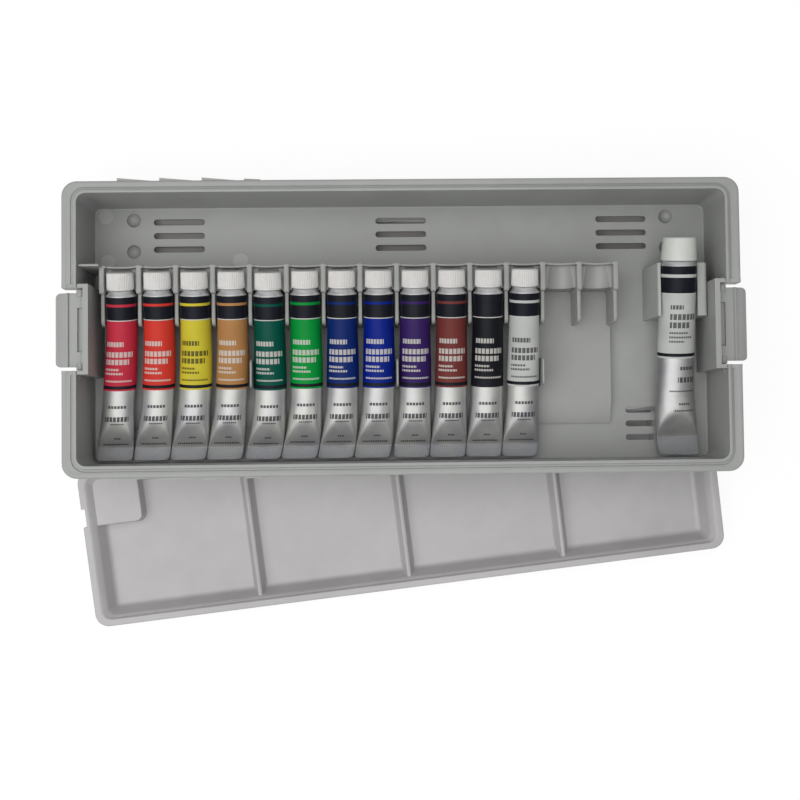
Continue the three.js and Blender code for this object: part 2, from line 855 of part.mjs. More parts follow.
// The origin is the middle of the whole thing's footprint, on the table.
onTable.add(paintBox);
const extent = new THREE.Box3().setFromObject(onTable, true);
paintBox.position.set(
  -(extent.min.x + extent.max.x) / 2,
  -(extent.min.y + extent.max.y) / 2,
  -extent.min.z,
);

export default onTable;
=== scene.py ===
"""An open paint box: a grey moulded tray with paint tubes in a rack, leaning on its palette."""

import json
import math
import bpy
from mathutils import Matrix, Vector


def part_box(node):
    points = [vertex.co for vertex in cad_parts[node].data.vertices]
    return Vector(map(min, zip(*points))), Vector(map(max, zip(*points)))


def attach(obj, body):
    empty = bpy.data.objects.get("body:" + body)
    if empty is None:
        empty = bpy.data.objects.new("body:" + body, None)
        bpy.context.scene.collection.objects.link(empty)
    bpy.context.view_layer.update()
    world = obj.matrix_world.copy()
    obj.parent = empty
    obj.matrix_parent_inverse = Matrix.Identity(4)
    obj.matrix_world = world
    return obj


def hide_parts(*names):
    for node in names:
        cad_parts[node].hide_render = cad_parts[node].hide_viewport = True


bl_info = {
    "name": "Paint Box",
    "version": (1, 0, 0),
    "blender": (4, 5, 0),
    "location": "View3D > Sidebar > Paint Box",
    "description": "Builds a paint box with its tubes, latches and palette round its packed model",
    "category": "Add Mesh",
}

import bmesh
import bpy
from bpy.props import FloatProperty, FloatVectorProperty, IntProperty, PointerProperty
from mathutils import Matrix, Vector, noise

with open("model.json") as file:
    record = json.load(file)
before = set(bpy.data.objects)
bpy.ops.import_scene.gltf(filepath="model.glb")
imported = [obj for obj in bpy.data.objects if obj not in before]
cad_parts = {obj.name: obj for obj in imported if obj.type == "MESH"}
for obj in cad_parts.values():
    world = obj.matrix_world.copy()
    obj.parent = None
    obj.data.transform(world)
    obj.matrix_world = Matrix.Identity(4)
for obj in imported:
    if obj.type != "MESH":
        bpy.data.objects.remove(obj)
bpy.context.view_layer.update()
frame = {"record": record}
JOINTS = {joint["name"]: joint for joint in frame["record"]["behaviour"]["joints"]}

# The pieces are modelled in millimetres in their own frames and put in place at the end.
MM = 0.001

# Tray sizes that the pieces share
FLOOR_TOP = 2.0
PIVOT_HEIGHT = 32.0
PIVOT_X = 160.8
RACK_SEAT = 2.3
BED_TOP = 7.3
DIVIDER_FIRST_X = -151.0
DIVIDER_PITCH = 18.5
BAYS = 14
RECESS_WIDTH = 41.0
RECESS_OUTER_X = 158.2
RECESS_INNER_X = 155.5
POST_FRONT = 18.36
POST_REAR = 32.66

# How far the ridge round the tray's mouth stands above the rim
RIDGE_RISE = 0.9

# The vents: where the middle of each group of three lies, and their sizes
VENT_GROUPS = [(-116.5, 52.16), (0.0, 52.16), (116.5, 52.16), (130.7, -49.0)]
VENT_LENGTH = 26.8
VENT_WIDTH = 3.2
VENT_PITCH = 7.2

# The tray's hollow feet
FOOT_PLACES = [(x, y) for x in (-140.3, 140.3) for y in (-60.46, -43.86, 43.86, 60.46)]
FOOT_RADIUS = 2.6
FOOT_TOP_RADIUS = 3.7
FOOT_HEIGHT = 2.2
FOOT_HOLLOW = 3.65

# The wedges along the rim's long sides: length, height at the start and height at the end
CATCH_FIRST_X = -141.6
CATCH_PITCH = 21.0
CATCHES = [(17.0, 1.5, 0.0), (17.0, 1.5, 0.0), (17.0, 1.5, 0.0), (8.0, 0.8, 0.4)]

# The round marks that the ejector pins left on the tray's floor: X, Y and radius
EJECTOR_MARKS = [
    (-155.0, 62.6, 4.0),
    (-154.0, 38.6, 4.0),
    (-84.4, 38.9, 4.2),
]

# A tube's length below its shoulder, where its shoulder ends in Y and Z, and its lean, which
# comes from how far its tail lies below its shoulder
TAIL_DROP = 19.5
SMALL_BODY = 84.4
SMALL_SHOULDER = (16.86, 26.5)
SMALL_TILT = math.asin(TAIL_DROP / SMALL_BODY)
LARGE_BODY = 98.3
LARGE_SHOULDER = (30.79, 25.5)
LARGE_TILT = math.asin(TAIL_DROP / LARGE_BODY)
LARGE_TUBE_X = 140.8

# How far up its nozzle a cap starts, and the length that a tube's own UV map is counted in
CAP_GAP = 0.3
WRAP_LENGTH = 100.0

# The palette: its turn on the table, its floor, its flanges, its corner blocks, and where its
# wells are sliced so that ribs and blocks can rise from them
PALETTE_TURN = math.radians(6.5)
PALETTE_FLOOR = 1.6
PALETTE_END_FLANGE = 5.4
PALETTE_SIDE_FLANGE = 4.0
BLOCK_LENGTH = 26.0
BLOCK_DEPTH = 26.4
BLOCK_CORNER = 4.0
BLOCK_SLOPE = (-0.9, 0.45)
BLOCK_SLICES = 13
BLOCK_SLICE_START = -0.5
BLOCK_SLICE_STEP = 0.42
RIB_SLOPE = (0.5, 3.5)
RIB_SLICES = (-3.6, -2.9, -2.4, -1.9, -1.4, -0.9, 0.0, 0.9, 1.4, 1.9, 2.4, 2.9, 3.6)

# The camera, fitted to the photograph's view
FOCAL_SHARE = 1159.6 / 800
SENSOR_WIDTH = 36.0
CAMERA_PLACE = (-0.01894, 0.02804, 0.62130)
CAMERA_TURN = (-0.0418, -0.0295, -0.0095)

# The soft light from above
LAMP_PLACE = (-0.27, -0.08, 0.85)
LAMP_TARGET = (-0.04, 0.0, 0.02)
LAMP_SIZE = 1.1
LAMP_COLOUR = (1.0, 0.995, 0.99)


def tray_matrix():
    """The tray's frame: its origin is the middle of its underside, and its Z is square to its floor."""
    up = Vector(JOINTS["tube_01_lift"]["axis"]).normalized()
    back = Vector(JOINTS["latch_left_swing"]["axis"]).normalized()
    side = back.cross(up).normalized()
    left = Vector(JOINTS["latch_left_swing"]["pos_m"])
    right = Vector(JOINTS["latch_right_swing"]["pos_m"])
    origin = (left + right) / 2 - up * PIVOT_HEIGHT * MM
    turn = Matrix((side, back, up)).transposed().to_4x4()
    return Matrix.Translation(origin) @ turn


def palette_matrix():
    """The palette's frame: its origin is the middle of its underside."""
    low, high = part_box("palette")
    middle = (Vector(low) + Vector(high)) / 2
    return Matrix.Translation((middle.x, middle.y, low[2])) @ Matrix.Rotation(PALETTE_TURN, 4, "Z")


def tube_matrix(turn_joint, axis_drop):
    """A tube's frame: its origin is the end of its shoulder, and its Y runs towards its cap."""
    along = Vector(JOINTS[turn_joint]["axis"]).normalized()
    side = tray_matrix().to_3x3().col[0]
    up = side.cross(along).normalized()
    shoulder = Vector(JOINTS[turn_joint]["pos_m"]) - along * axis_drop * MM
    return Matrix.Translation(shoulder) @ Matrix((side, along, up)).transposed().to_4x4()


def srgb(red, green, blue):
    """A colour as it is seen on a screen, turned into the linear one that shaders take."""

    def linear(value):
        return value / 12.92 if value <= 0.04045 else ((value + 0.055) / 1.055) ** 2.4

    return (linear(red), linear(green), linear(blue), 1.0)


def each_once(items):
    """The items without their doubles, in the order in which they come, so that all runs agree."""
    return list(dict.fromkeys(items))


def smooth(value, low, high):
    """0 below low, 1 above high and an S-shaped curve between them."""
    share = min(max((value - low) / (high - low), 0.0), 1.0)
    return share * share * (3 - 2 * share)


class Signal:
    """A shader socket whose sums are written with Python's own signs."""

    def __init__(self, finish, socket):
        self.finish = finish
        self.socket = socket

    def _math(self, operation, left, right=None):
        sockets = {0: left} if right is None else {0: left, 1: right}
        return self.finish.add("ShaderNodeMath", {"operation": operation}, sockets)

    def __add__(self, other):
        return self._math("ADD", self, other)

    __radd__ = __add__

    def __sub__(self, other):
        return self._math("SUBTRACT", self, other)

    def __rsub__(self, other):
        return self._math("SUBTRACT", other, self)

    def __mul__(self, other):
        return self._math("MULTIPLY", self, other)

    __rmul__ = __mul__

    def __truediv__(self, other):
        return self._math("DIVIDE", self, other)

    def __lt__(self, other):
        return self._math("LESS_THAN", self, other)

    def __gt__(self, other):
        return self._math("GREATER_THAN", self, other)

    def __abs__(self):
        return self._math("ABSOLUTE", self)

    def sine(self):
        """The sine of the value."""
        return self._math("SINE", self)

    def larger(self, other):
        """The larger one of two values."""
        return self._math("MAXIMUM", self, other)

    def fraction(self):
        """What is left of the value past its last whole number."""
        return self._math("FRACT", self)


class Finish:
    """A material and the nodes that make it."""

    def __init__(self, name):
        self.material = bpy.data.materials.new(name)
        self.material.use_nodes = True
        self.nodes = self.material.node_tree.nodes
        self.shader = self.nodes["Principled BSDF"]

    def add(self, kind, settings=None, sockets=None, out=0):
        """A new node: its settings first, then the values or links of its sockets."""
        node = self.nodes.new(kind)
        for key, value in (settings or {}).items():
            setattr(node, key, value)
        for key, value in (sockets or {}).items():
            self.put(node.inputs[key], value)
        return Signal(self, node.outputs[out])

    def put(self, socket, value):
        """Links a signal to a socket, or sets the socket to a plain value."""
        if isinstance(value, Signal):
            self.material.node_tree.links.new(value.socket, socket)
        else:
            socket.default_value = value

    def set(self, **values):
        """Sets the shader's own sockets, whose names are written with underscores."""
        for key, value in values.items():
            self.put(self.shader.inputs[key.replace("_", " ")], value)

    def place(self, matrix=None):
        """Object coordinates in metres, or in the frame that the matrix stands for."""
        here = self.add("ShaderNodeTexCoord", out="Object")
        if matrix is None:
            return here
        sockets = {
            "Vector": here,
            "Location": matrix.to_translation(),
            "Rotation": matrix.to_euler(),
        }
        return self.add("ShaderNodeMapping", {"vector_type": "TEXTURE"}, sockets)

    def noise(self, where, scale, detail, roughness=0.5):
        """An uneven value between 0 and 1."""
        sockets = {"Vector": where, "Scale": scale, "Detail": detail, "Roughness": roughness}
        return self.add("ShaderNodeTexNoise", None, sockets, "Fac")

    def between(self, value, low, high):
        """1 where the value lies between low and high, and 0 elsewhere."""
        return (value > low) * (value < high)

    def spread(self, value, from_low, from_high, to_low, to_high):
        """One range of values stretched over another and held inside it."""
        sockets = {
            "Value": value,
            "From Min": from_low,
            "From Max": from_high,
            "To Min": to_low,
            "To Max": to_high,
        }
        return self.add("ShaderNodeMapRange", {"clamp": True}, sockets)

    def fade(self, value, start, end):
        """1 up to the start, 0 from the end on, and a soft slope between them."""
        sockets = {"Value": value, "From Min": start, "From Max": end, "To Min": 1.0, "To Max": 0.0}
        return self.add("ShaderNodeMapRange", {"interpolation_type": "SMOOTHSTEP"}, sockets)

    def mix(self, share, below, above):
        """One colour over another where share is 1."""
        return self.add("ShaderNodeMix", {"data_type": "RGBA"}, {0: share, 6: below, 7: above}, 2)

    def bump(self, height, distance, strength, normal=None):
        """A normal that stands for a relief, over another relief where one is given."""
        sockets = {"Height": height, "Distance": distance, "Strength": strength}
        if normal is not None:
            sockets["Normal"] = normal
        return self.add("ShaderNodeBump", None, sockets)


def moulded_plastic(name, colour, roughness, discs, matrix):
    """Injection-moulded plastic: fine grain, faint flow marks and round ejector marks."""
    grain_height = 0.00002
    mark_height = 0.00025
    finish = Finish(name)
    here = finish.place(matrix)
    cloud = finish.noise(here, 14.0, 2.0)
    flow = finish.noise(here, 90.0, 4.0)
    fine = finish.noise(here, 2600.0, 2.0)
    dark = [channel * 0.93 for channel in colour[:3]] + [1.0]
    light = [min(channel * 1.06, 1.0) for channel in colour[:3]] + [1.0]
    tone = finish.spread(cloud * 0.6 + flow * 0.4, 0.35, 0.65, 0.0, 1.0)
    base = finish.mix(tone, dark, light)
    rough = finish.spread(flow, 0.3, 0.7, roughness - 0.05, roughness + 0.06)
    relief = finish.bump(fine, grain_height, 0.6)
    marks = None
    for x, y, radius in discs:
        middle = (x * MM, y * MM, FLOOR_TOP * MM)
        away = finish.add("ShaderNodeVectorMath", {"operation": "DISTANCE"}, {0: here, 1: middle}, 1)
        mark = finish.spread(away, (radius - 0.25) * MM, (radius + 0.1) * MM, 1.0, 0.0)
        marks = mark if marks is None else marks.larger(mark)
    if marks is not None:
        base = finish.mix(marks * 0.10, base, (1.0, 1.0, 1.0, 1.0))
        relief = finish.bump(marks, mark_height, 0.5, relief)
    finish.set(Base_Color=base, Roughness=rough, Normal=relief)
    finish.set(Specular_IOR_Level=0.42)
    return finish.material


def cap_plastic(name, colour):
    """White polypropylene with a faint milky unevenness."""
    finish = Finish(name)
    here = finish.place()
    cloud = finish.noise(here, 300.0, 3.0)
    warm = [colour[0] * 0.97, colour[1] * 0.965, colour[2] * 0.94, 1.0]
    finish.set(Base_Color=finish.mix(finish.spread(cloud, 0.35, 0.65, 0.0, 1.0), colour, warm))
    finish.set(Roughness=finish.spread(cloud, 0.3, 0.7, 0.36, 0.5))
    finish.set(Normal=finish.bump(finish.noise(here, 3200.0, 2.0), 0.00001, 0.5))
    return finish.material


def print_rows(finish, down, across, rows):
    """Rows of small plain blocks, where a tube carries its small print."""
    gap = 0.22
    total = None
    for start, height, left, right, pitch in rows:
        row = finish.between(down, start, start + height) * finish.between(across, left, right)
        row = row * ((across / pitch).fraction() > gap)
        total = row if total is None else total.larger(row)
    return total


def printed_foil(name, paint, size, seed):
    """A tube's skin: printed plain bands round the upper body, and bare soft foil below them."""
    knurl_across = 1.05
    knurl_down = 0.95
    dent_height = 0.00010
    knurl_height = 0.00012
    ink = (0.008, 0.009, 0.014, 1.0)
    note_ink = (0.015, 0.015, 0.02, 1.0)
    pale = srgb(0.74, 0.74, 0.72)
    foil_light = srgb(0.74, 0.74, 0.725)
    foil_dark = srgb(0.68, 0.68, 0.69)
    # The darker foil of the painted shade in the knurl's grooves
    knurl_groove_shade = srgb(0.56, 0.57, 0.60)
    foil_shoulder = srgb(0.93, 0.93, 0.94)
    shade = [channel * 0.86 for channel in paint[:3]] + [1.0]
    label_end = size["label"]
    band_end = size["band"]

    finish = Finish(name)
    wrap = finish.add("ShaderNodeUVMap", {"uv_map": "wrap"})
    split = finish.add("ShaderNodeSeparateXYZ", None, {0: wrap})
    down = finish.add("ShaderNodeSeparateXYZ", None, {0: wrap}, 1) * WRAP_LENGTH
    across = (split - 0.5) * (2 * math.pi * size["radius"])
    here = finish.place()

    label = finish.between(down, 0.0, label_end)
    soft = finish.noise(here, 60.0, 2.0)
    field = finish.mix(finish.spread(soft, 0.35, 0.65, 0.0, 0.6), paint, shade)
    lower_band = finish.between(down, label_end - 2.6, label_end - 0.9)
    field = finish.mix(lower_band, field, ink)
    ring = finish.between(down, band_end * 0.30, band_end * 0.42)
    band = finish.between(down, -0.1, band_end) * (1.0 - ring)
    field = finish.mix(band, field, ink)
    stripe = finish.between(down, band_end, band_end + 0.45)
    field = finish.mix(stripe, field, pale)
    bars = print_rows(finish, down, across, size["bars"])
    field = finish.mix(bars * 0.8, field, size["bar_colour"])

    notes = print_rows(finish, down, across, size["notes"])
    crumple = finish.noise(here, 70.0 + seed, 2.0, 0.5)
    foil = finish.mix(finish.spread(crumple, 0.35, 0.65, 0.0, 1.0), foil_dark, foil_light)
    knurl_start = size["body"] - size["crimp"]
    knurl_zone = finish.spread(down, knurl_start - 0.2, knurl_start, 0.0, 1.0)
    teeth_across = (across * (2 * math.pi / knurl_across)).sine()
    teeth = teeth_across * (down * (2 * math.pi / knurl_down)).sine()
    # Painted shade: the foil is darker where the knurl's teeth go down, as in the grooves of its relief
    knurl_with_groove_shade = finish.mix(finish.spread(teeth, -0.3, 0.3, 0.0, 1.0), knurl_groove_shade, foil)
    foil = finish.mix(knurl_zone, foil, knurl_with_groove_shade)
    shoulder = down < -0.2
    foil = finish.mix(shoulder, foil, foil_shoulder)
    foil = finish.mix(notes * 0.85, foil, note_ink)

    printed = label.larger(notes * 0.7)
    finish.set(Base_Color=finish.mix(label, foil, field))
    finish.set(Metallic=finish.spread(printed, 0.0, 1.0, 0.90, 0.0))
    bare_rough = finish.spread(crumple, 0.3, 0.7, 0.46, 0.54)
    ink_rough = finish.spread(soft, 0.3, 0.7, 0.36, 0.44)
    bare_rough = bare_rough - shoulder * 0.16
    finish.set(Roughness=label * ink_rough + (1.0 - label) * bare_rough)
    finish.set(Specular_IOR_Level=0.10)
    dents = finish.bump(crumple, dent_height, 0.25)
    finish.set(Normal=finish.bump(teeth * knurl_zone, knurl_height, 0.7, dents))
    return finish.material


def round_off(bm, geom, offset, segments, affect="EDGES", clamp=False):
    """Rounds edges or corners, and returns what the rounding made."""
    return bmesh.ops.bevel(
        bm,
        geom=geom,
        offset=offset,
        segments=segments,
        affect=affect,
        profile=0.5,
        clamp_overlap=clamp,
        material=-1,
    )


def carry(bm, faces, way):
    """Makes a closed bar: faces carried along a way. Returns the vertices at its far end."""
    made = bmesh.ops.extrude_face_region(bm, geom=faces, use_keep_orig=True)["geom"]
    moved = [item for item in made if isinstance(item, bmesh.types.BMVert)]
    bmesh.ops.translate(bm, vec=way, verts=moved)
    return moved


def quarter_round(steps):
    """Steps round a quarter circle of radius 1: how far in each is, and how far short of its end."""
    for step in range(1, steps + 1):
        angle = math.radians(90 * step / steps)
        yield 1 - math.cos(angle), 1 - math.sin(angle)


def outline(bm, length, depth, corner, height, steps=8):
    """A closed loop of edges round a rounded rectangle, level and centred."""
    known = set(bm.faces)
    made = bmesh.ops.create_grid(bm, x_segments=1, y_segments=1, size=0.5)["verts"]
    bmesh.ops.scale(bm, vec=(length, depth, 1), verts=made)
    bmesh.ops.translate(bm, vec=(0, 0, height), verts=made)
    round_off(bm, made, corner, steps, "VERTICES")
    face = [f for f in bm.faces if f not in known][0]
    edges = list(face.edges)
    bmesh.ops.delete(bm, geom=[face], context="FACES_ONLY")
    return edges


def skin(bm, loops):
    """Bridges loops of edges one after another, and fills the first and the last of them."""
    for near, far in zip(loops, loops[1:]):
        bmesh.ops.bridge_loops(bm, edges=near + far)
    for loop in (loops[0], loops[-1]):
        bmesh.ops.edgeloop_fill(bm, edges=loop)


def wall_all_round(bm, length, depth, rings):
    """A wall that follows a profile all round: each ring is (out in X, out in Y, corner, height).

    The first ring is an outline, each next one is extruded from the one before, and the last is
    filled.
    """
    edges = outline(bm, length + 2 * rings[0][0], depth + 2 * rings[0][1], rings[0][2], rings[0][3])
    for (a0, b0, corner0, z0), (a1, b1, corner1, z1) in zip(rings, rings[1:]):
        made = bmesh.ops.extrude_edge_only(bm, edges=edges)["geom"]
        verts = {item for item in made if isinstance(item, bmesh.types.BMVert)}
        edges = [
            item
            for item in made
            if isinstance(item, bmesh.types.BMEdge) and all(vert in verts for vert in item.verts)
        ]
        for vert in verts:
            side_x = math.copysign(1, vert.co.x)
            side_y = math.copysign(1, vert.co.y)
            from_x = vert.co.x - side_x * (length / 2 + a0 - corner0)
            from_y = vert.co.y - side_y * (depth / 2 + b0 - corner0)
            vert.co.x = side_x * (length / 2 + a1 - corner1) + from_x * corner1 / corner0
            vert.co.y = side_y * (depth / 2 + b1 - corner1) + from_y * corner1 / corner0
            vert.co.z = z1
    bmesh.ops.edgeloop_fill(bm, edges=edges)


def cube(bm, low, high, bevel=0.0, segments=2):
    """A box between two corners, its edges rounded where a bevel is given. Returns its vertices."""
    made = bmesh.ops.create_cube(bm, size=1.0)["verts"]
    size = Vector(high) - Vector(low)
    middle = (Vector(high) + Vector(low)) / 2
    bmesh.ops.scale(bm, vec=(size.x, size.y, size.z), verts=made)
    bmesh.ops.translate(bm, vec=middle, verts=made)
    if bevel:
        edges = each_once(edge for vert in made for edge in vert.link_edges)
        return round_off(bm, edges, bevel, segments)["verts"]
    return made


def section_bar(bm, points, front_y, rear_y):
    """A section of X and Z points carried along Y."""
    face = bm.faces.new([bm.verts.new((x, front_y, z)) for x, z in points])
    carry(bm, [face], (0, rear_y - front_y, 0))


def blade(bm, points, low_x, high_x, bevel):
    """A plate with rounded rims whose outline is drawn in Y and Z."""
    verts = [bm.verts.new((low_x, y, z)) for y, z in points]
    moved = carry(bm, [bm.faces.new(verts)], (high_x - low_x, 0, 0))
    rims = each_once(
        edge
        for vert in verts + moved
        for edge in vert.link_edges
        if abs(edge.verts[0].co.x - edge.verts[1].co.x) < 1e-6
    )
    round_off(bm, rims, bevel, 3, clamp=True)


def arc(middle_x, middle_z, radius, start, end, steps):
    """Points of an arc in X and Z, from one angle to another in degrees."""
    angles = [math.radians(start + (end - start) * i / steps) for i in range(steps + 1)]
    return [(middle_x + radius * math.cos(a), middle_z + radius * math.sin(a)) for a in angles]


def rounded_slot(bm, x, y, low, high, length, width, steps=10):
    """A closed upright bar with round ends, to cut a slot with."""
    first = outline(bm, length, width, width / 2 - 0.01, low, steps)
    last = outline(bm, length, width, width / 2 - 0.01, high, steps)
    skin(bm, [first, last])
    verts = each_once(vert for loop in (first, last) for edge in loop for vert in edge.verts)
    bmesh.ops.translate(bm, vec=(x, y, 0), verts=verts)


def rod(bm, radius, low, high, segments=32, axis="Z", place=(0, 0, 0), top_radius=None):
    """A closed round bar along an axis."""
    made = bmesh.ops.create_cone(
        bm,
        cap_ends=True,
        segments=segments,
        radius1=radius,
        radius2=radius if top_radius is None else top_radius,
        depth=high - low,
    )["verts"]
    bmesh.ops.translate(bm, vec=(0, 0, (low + high) / 2), verts=made)
    if axis == "Y":
        turn = Matrix.Rotation(-math.pi / 2, 3, "X")
        bmesh.ops.rotate(bm, matrix=turn, verts=made)
    bmesh.ops.translate(bm, vec=place, verts=made)
    return made


def as_object(bm, name):
    """A scene object that holds the bmesh, which is freed."""
    bmesh.ops.recalc_face_normals(bm, faces=bm.faces)
    mesh = bpy.data.meshes.new(name)
    bm.to_mesh(mesh)
    bm.free()
    made = bpy.data.objects.new(name, mesh)
    bpy.context.collection.objects.link(made)
    return made


def carve(bm, tool, operation, own_overlaps=False):
    """A new bmesh: the first one joined with or cut by the tool. Both are used up."""
    base = as_object(bm, "carve_base")
    other = as_object(tool, "carve_tool")
    modifier = base.modifiers.new("carve", "BOOLEAN")
    modifier.operation = operation
    modifier.solver = "EXACT"
    modifier.use_self = own_overlaps
    modifier.object = other
    graph = bpy.context.evaluated_depsgraph_get()
    result = bmesh.new()
    result.from_object(base, graph)
    for spare in (base, other):
        mesh = spare.data
        bpy.data.objects.remove(spare)
        bpy.data.meshes.remove(mesh)
    bmesh.ops.remove_doubles(result, verts=result.verts, dist=0.002)
    return result


def soften(bm, offset, segments, angle, keep=None):
    """Rounds the edges that are sharper than an angle, or those of them that keep says."""
    limit = math.radians(angle)
    sharp = [
        edge
        for edge in bm.edges
        if edge.is_manifold and edge.calc_face_angle(0.0) > limit and (keep is None or keep(edge))
    ]
    round_off(bm, sharp, offset, segments, clamp=True)


def put_in_place(bm, name, matrix, material, body, nodes, smooth_angle=35.0, weighted=True):
    """Makes the finished piece: moved to its place, shaded, riding on its body."""
    bmesh.ops.dissolve_degenerate(bm, dist=0.0005, edges=bm.edges)
    bmesh.ops.transform(bm, matrix=matrix @ Matrix.Scale(MM, 4), verts=bm.verts)
    piece = as_object(bm, name)
    for polygon in piece.data.polygons:
        polygon.use_smooth = True
    piece.data.set_sharp_from_angle(angle=math.radians(smooth_angle))
    piece.data.materials.append(material)
    if weighted:
        modifier = piece.modifiers.new("even_shading", "WEIGHTED_NORMAL")
        modifier.keep_sharp = True
    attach(piece, body)
    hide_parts(*nodes)


class TraySizes(bpy.types.PropertyGroup):
    """The tray's own sizes, in millimetres."""

    length: FloatProperty(name="Length", description="Over the rim, in mm", default=338.0)
    depth: FloatProperty(name="Depth", description="Over the rim, in mm", default=147.51)
    height: FloatProperty(name="Height", description="Underside to ridge, in mm", default=38.0)
    end_rim: FloatProperty(name="End rim", description="Rim width at the ends, in mm", default=7.6)
    side_rim: FloatProperty(name="Side rim", description="Rim width at the sides, in mm", default=6.2)
    draft: FloatProperty(name="Draft", description="How far a wall leans in, in mm", default=0.7)
    colour: FloatVectorProperty(
        name="Colour", description="Plastic", subtype="COLOR", size=3, default=(0.59, 0.597, 0.59)
    )


class RackSizes(bpy.types.PropertyGroup):
    """The sizes of the tube rack and of the cradle, in millimetres."""

    post_top: FloatProperty(name="Post top", description="Above the rack's seat, in mm", default=27.0)
    fin_top: FloatProperty(name="Fin top", description="Above the rack's seat, in mm", default=24.0)
    cradle_top: FloatProperty(name="Cradle top", description="Above its own foot, in mm", default=23.7)
    colour: FloatVectorProperty(
        name="Colour", description="Plastic", subtype="COLOR", size=3, default=(0.575, 0.58, 0.57)
    )
    cradle_colour: FloatVectorProperty(
        name="Cradle colour", description="Plastic", subtype="COLOR", size=3, default=(0.64, 0.65, 0.635)
    )


class TubeSizes(bpy.types.PropertyGroup):
    """What the paint tubes share."""

    count: IntProperty(name="Small tubes", description="Filled bays", default=12, min=1, max=12)
    cap_ribs: IntProperty(name="Cap ribs", description="Ribs round a small cap", default=45)
    cap_colour: FloatVectorProperty(
        name="Cap colour", description="Plastic", subtype="COLOR", size=3, default=(0.805, 0.80, 0.795)
    )


class PaletteSizes(bpy.types.PropertyGroup):
    """The palette's own sizes, in millimetres."""

    length: FloatProperty(name="Length", description="Over the flange, in mm", default=336.0)
    depth: FloatProperty(name="Depth", description="Over the flange, in mm", default=83.0)
    height: FloatProperty(name="Height", description="Underside to flange, in mm", default=12.0)
    rib_height: FloatProperty(name="Rib height", description="Above the underside, in mm", default=8.6)
    rib_places: FloatVectorProperty(
        name="Rib places", description="Along the length, in mm", size=3, default=(-81.0, -1.2, 82.0)
    )
    colour: FloatVectorProperty(
        name="Colour", description="Plastic", subtype="COLOR", size=3, default=(0.675, 0.668, 0.67)
    )


class StageSettings(bpy.types.PropertyGroup):
    """How strong the light is."""

    key_power: FloatProperty(name="Key light", description="Watts", default=7.5, unit="POWER")
    ambient: FloatProperty(name="Ambient", description="World strength on the object", default=0.44)


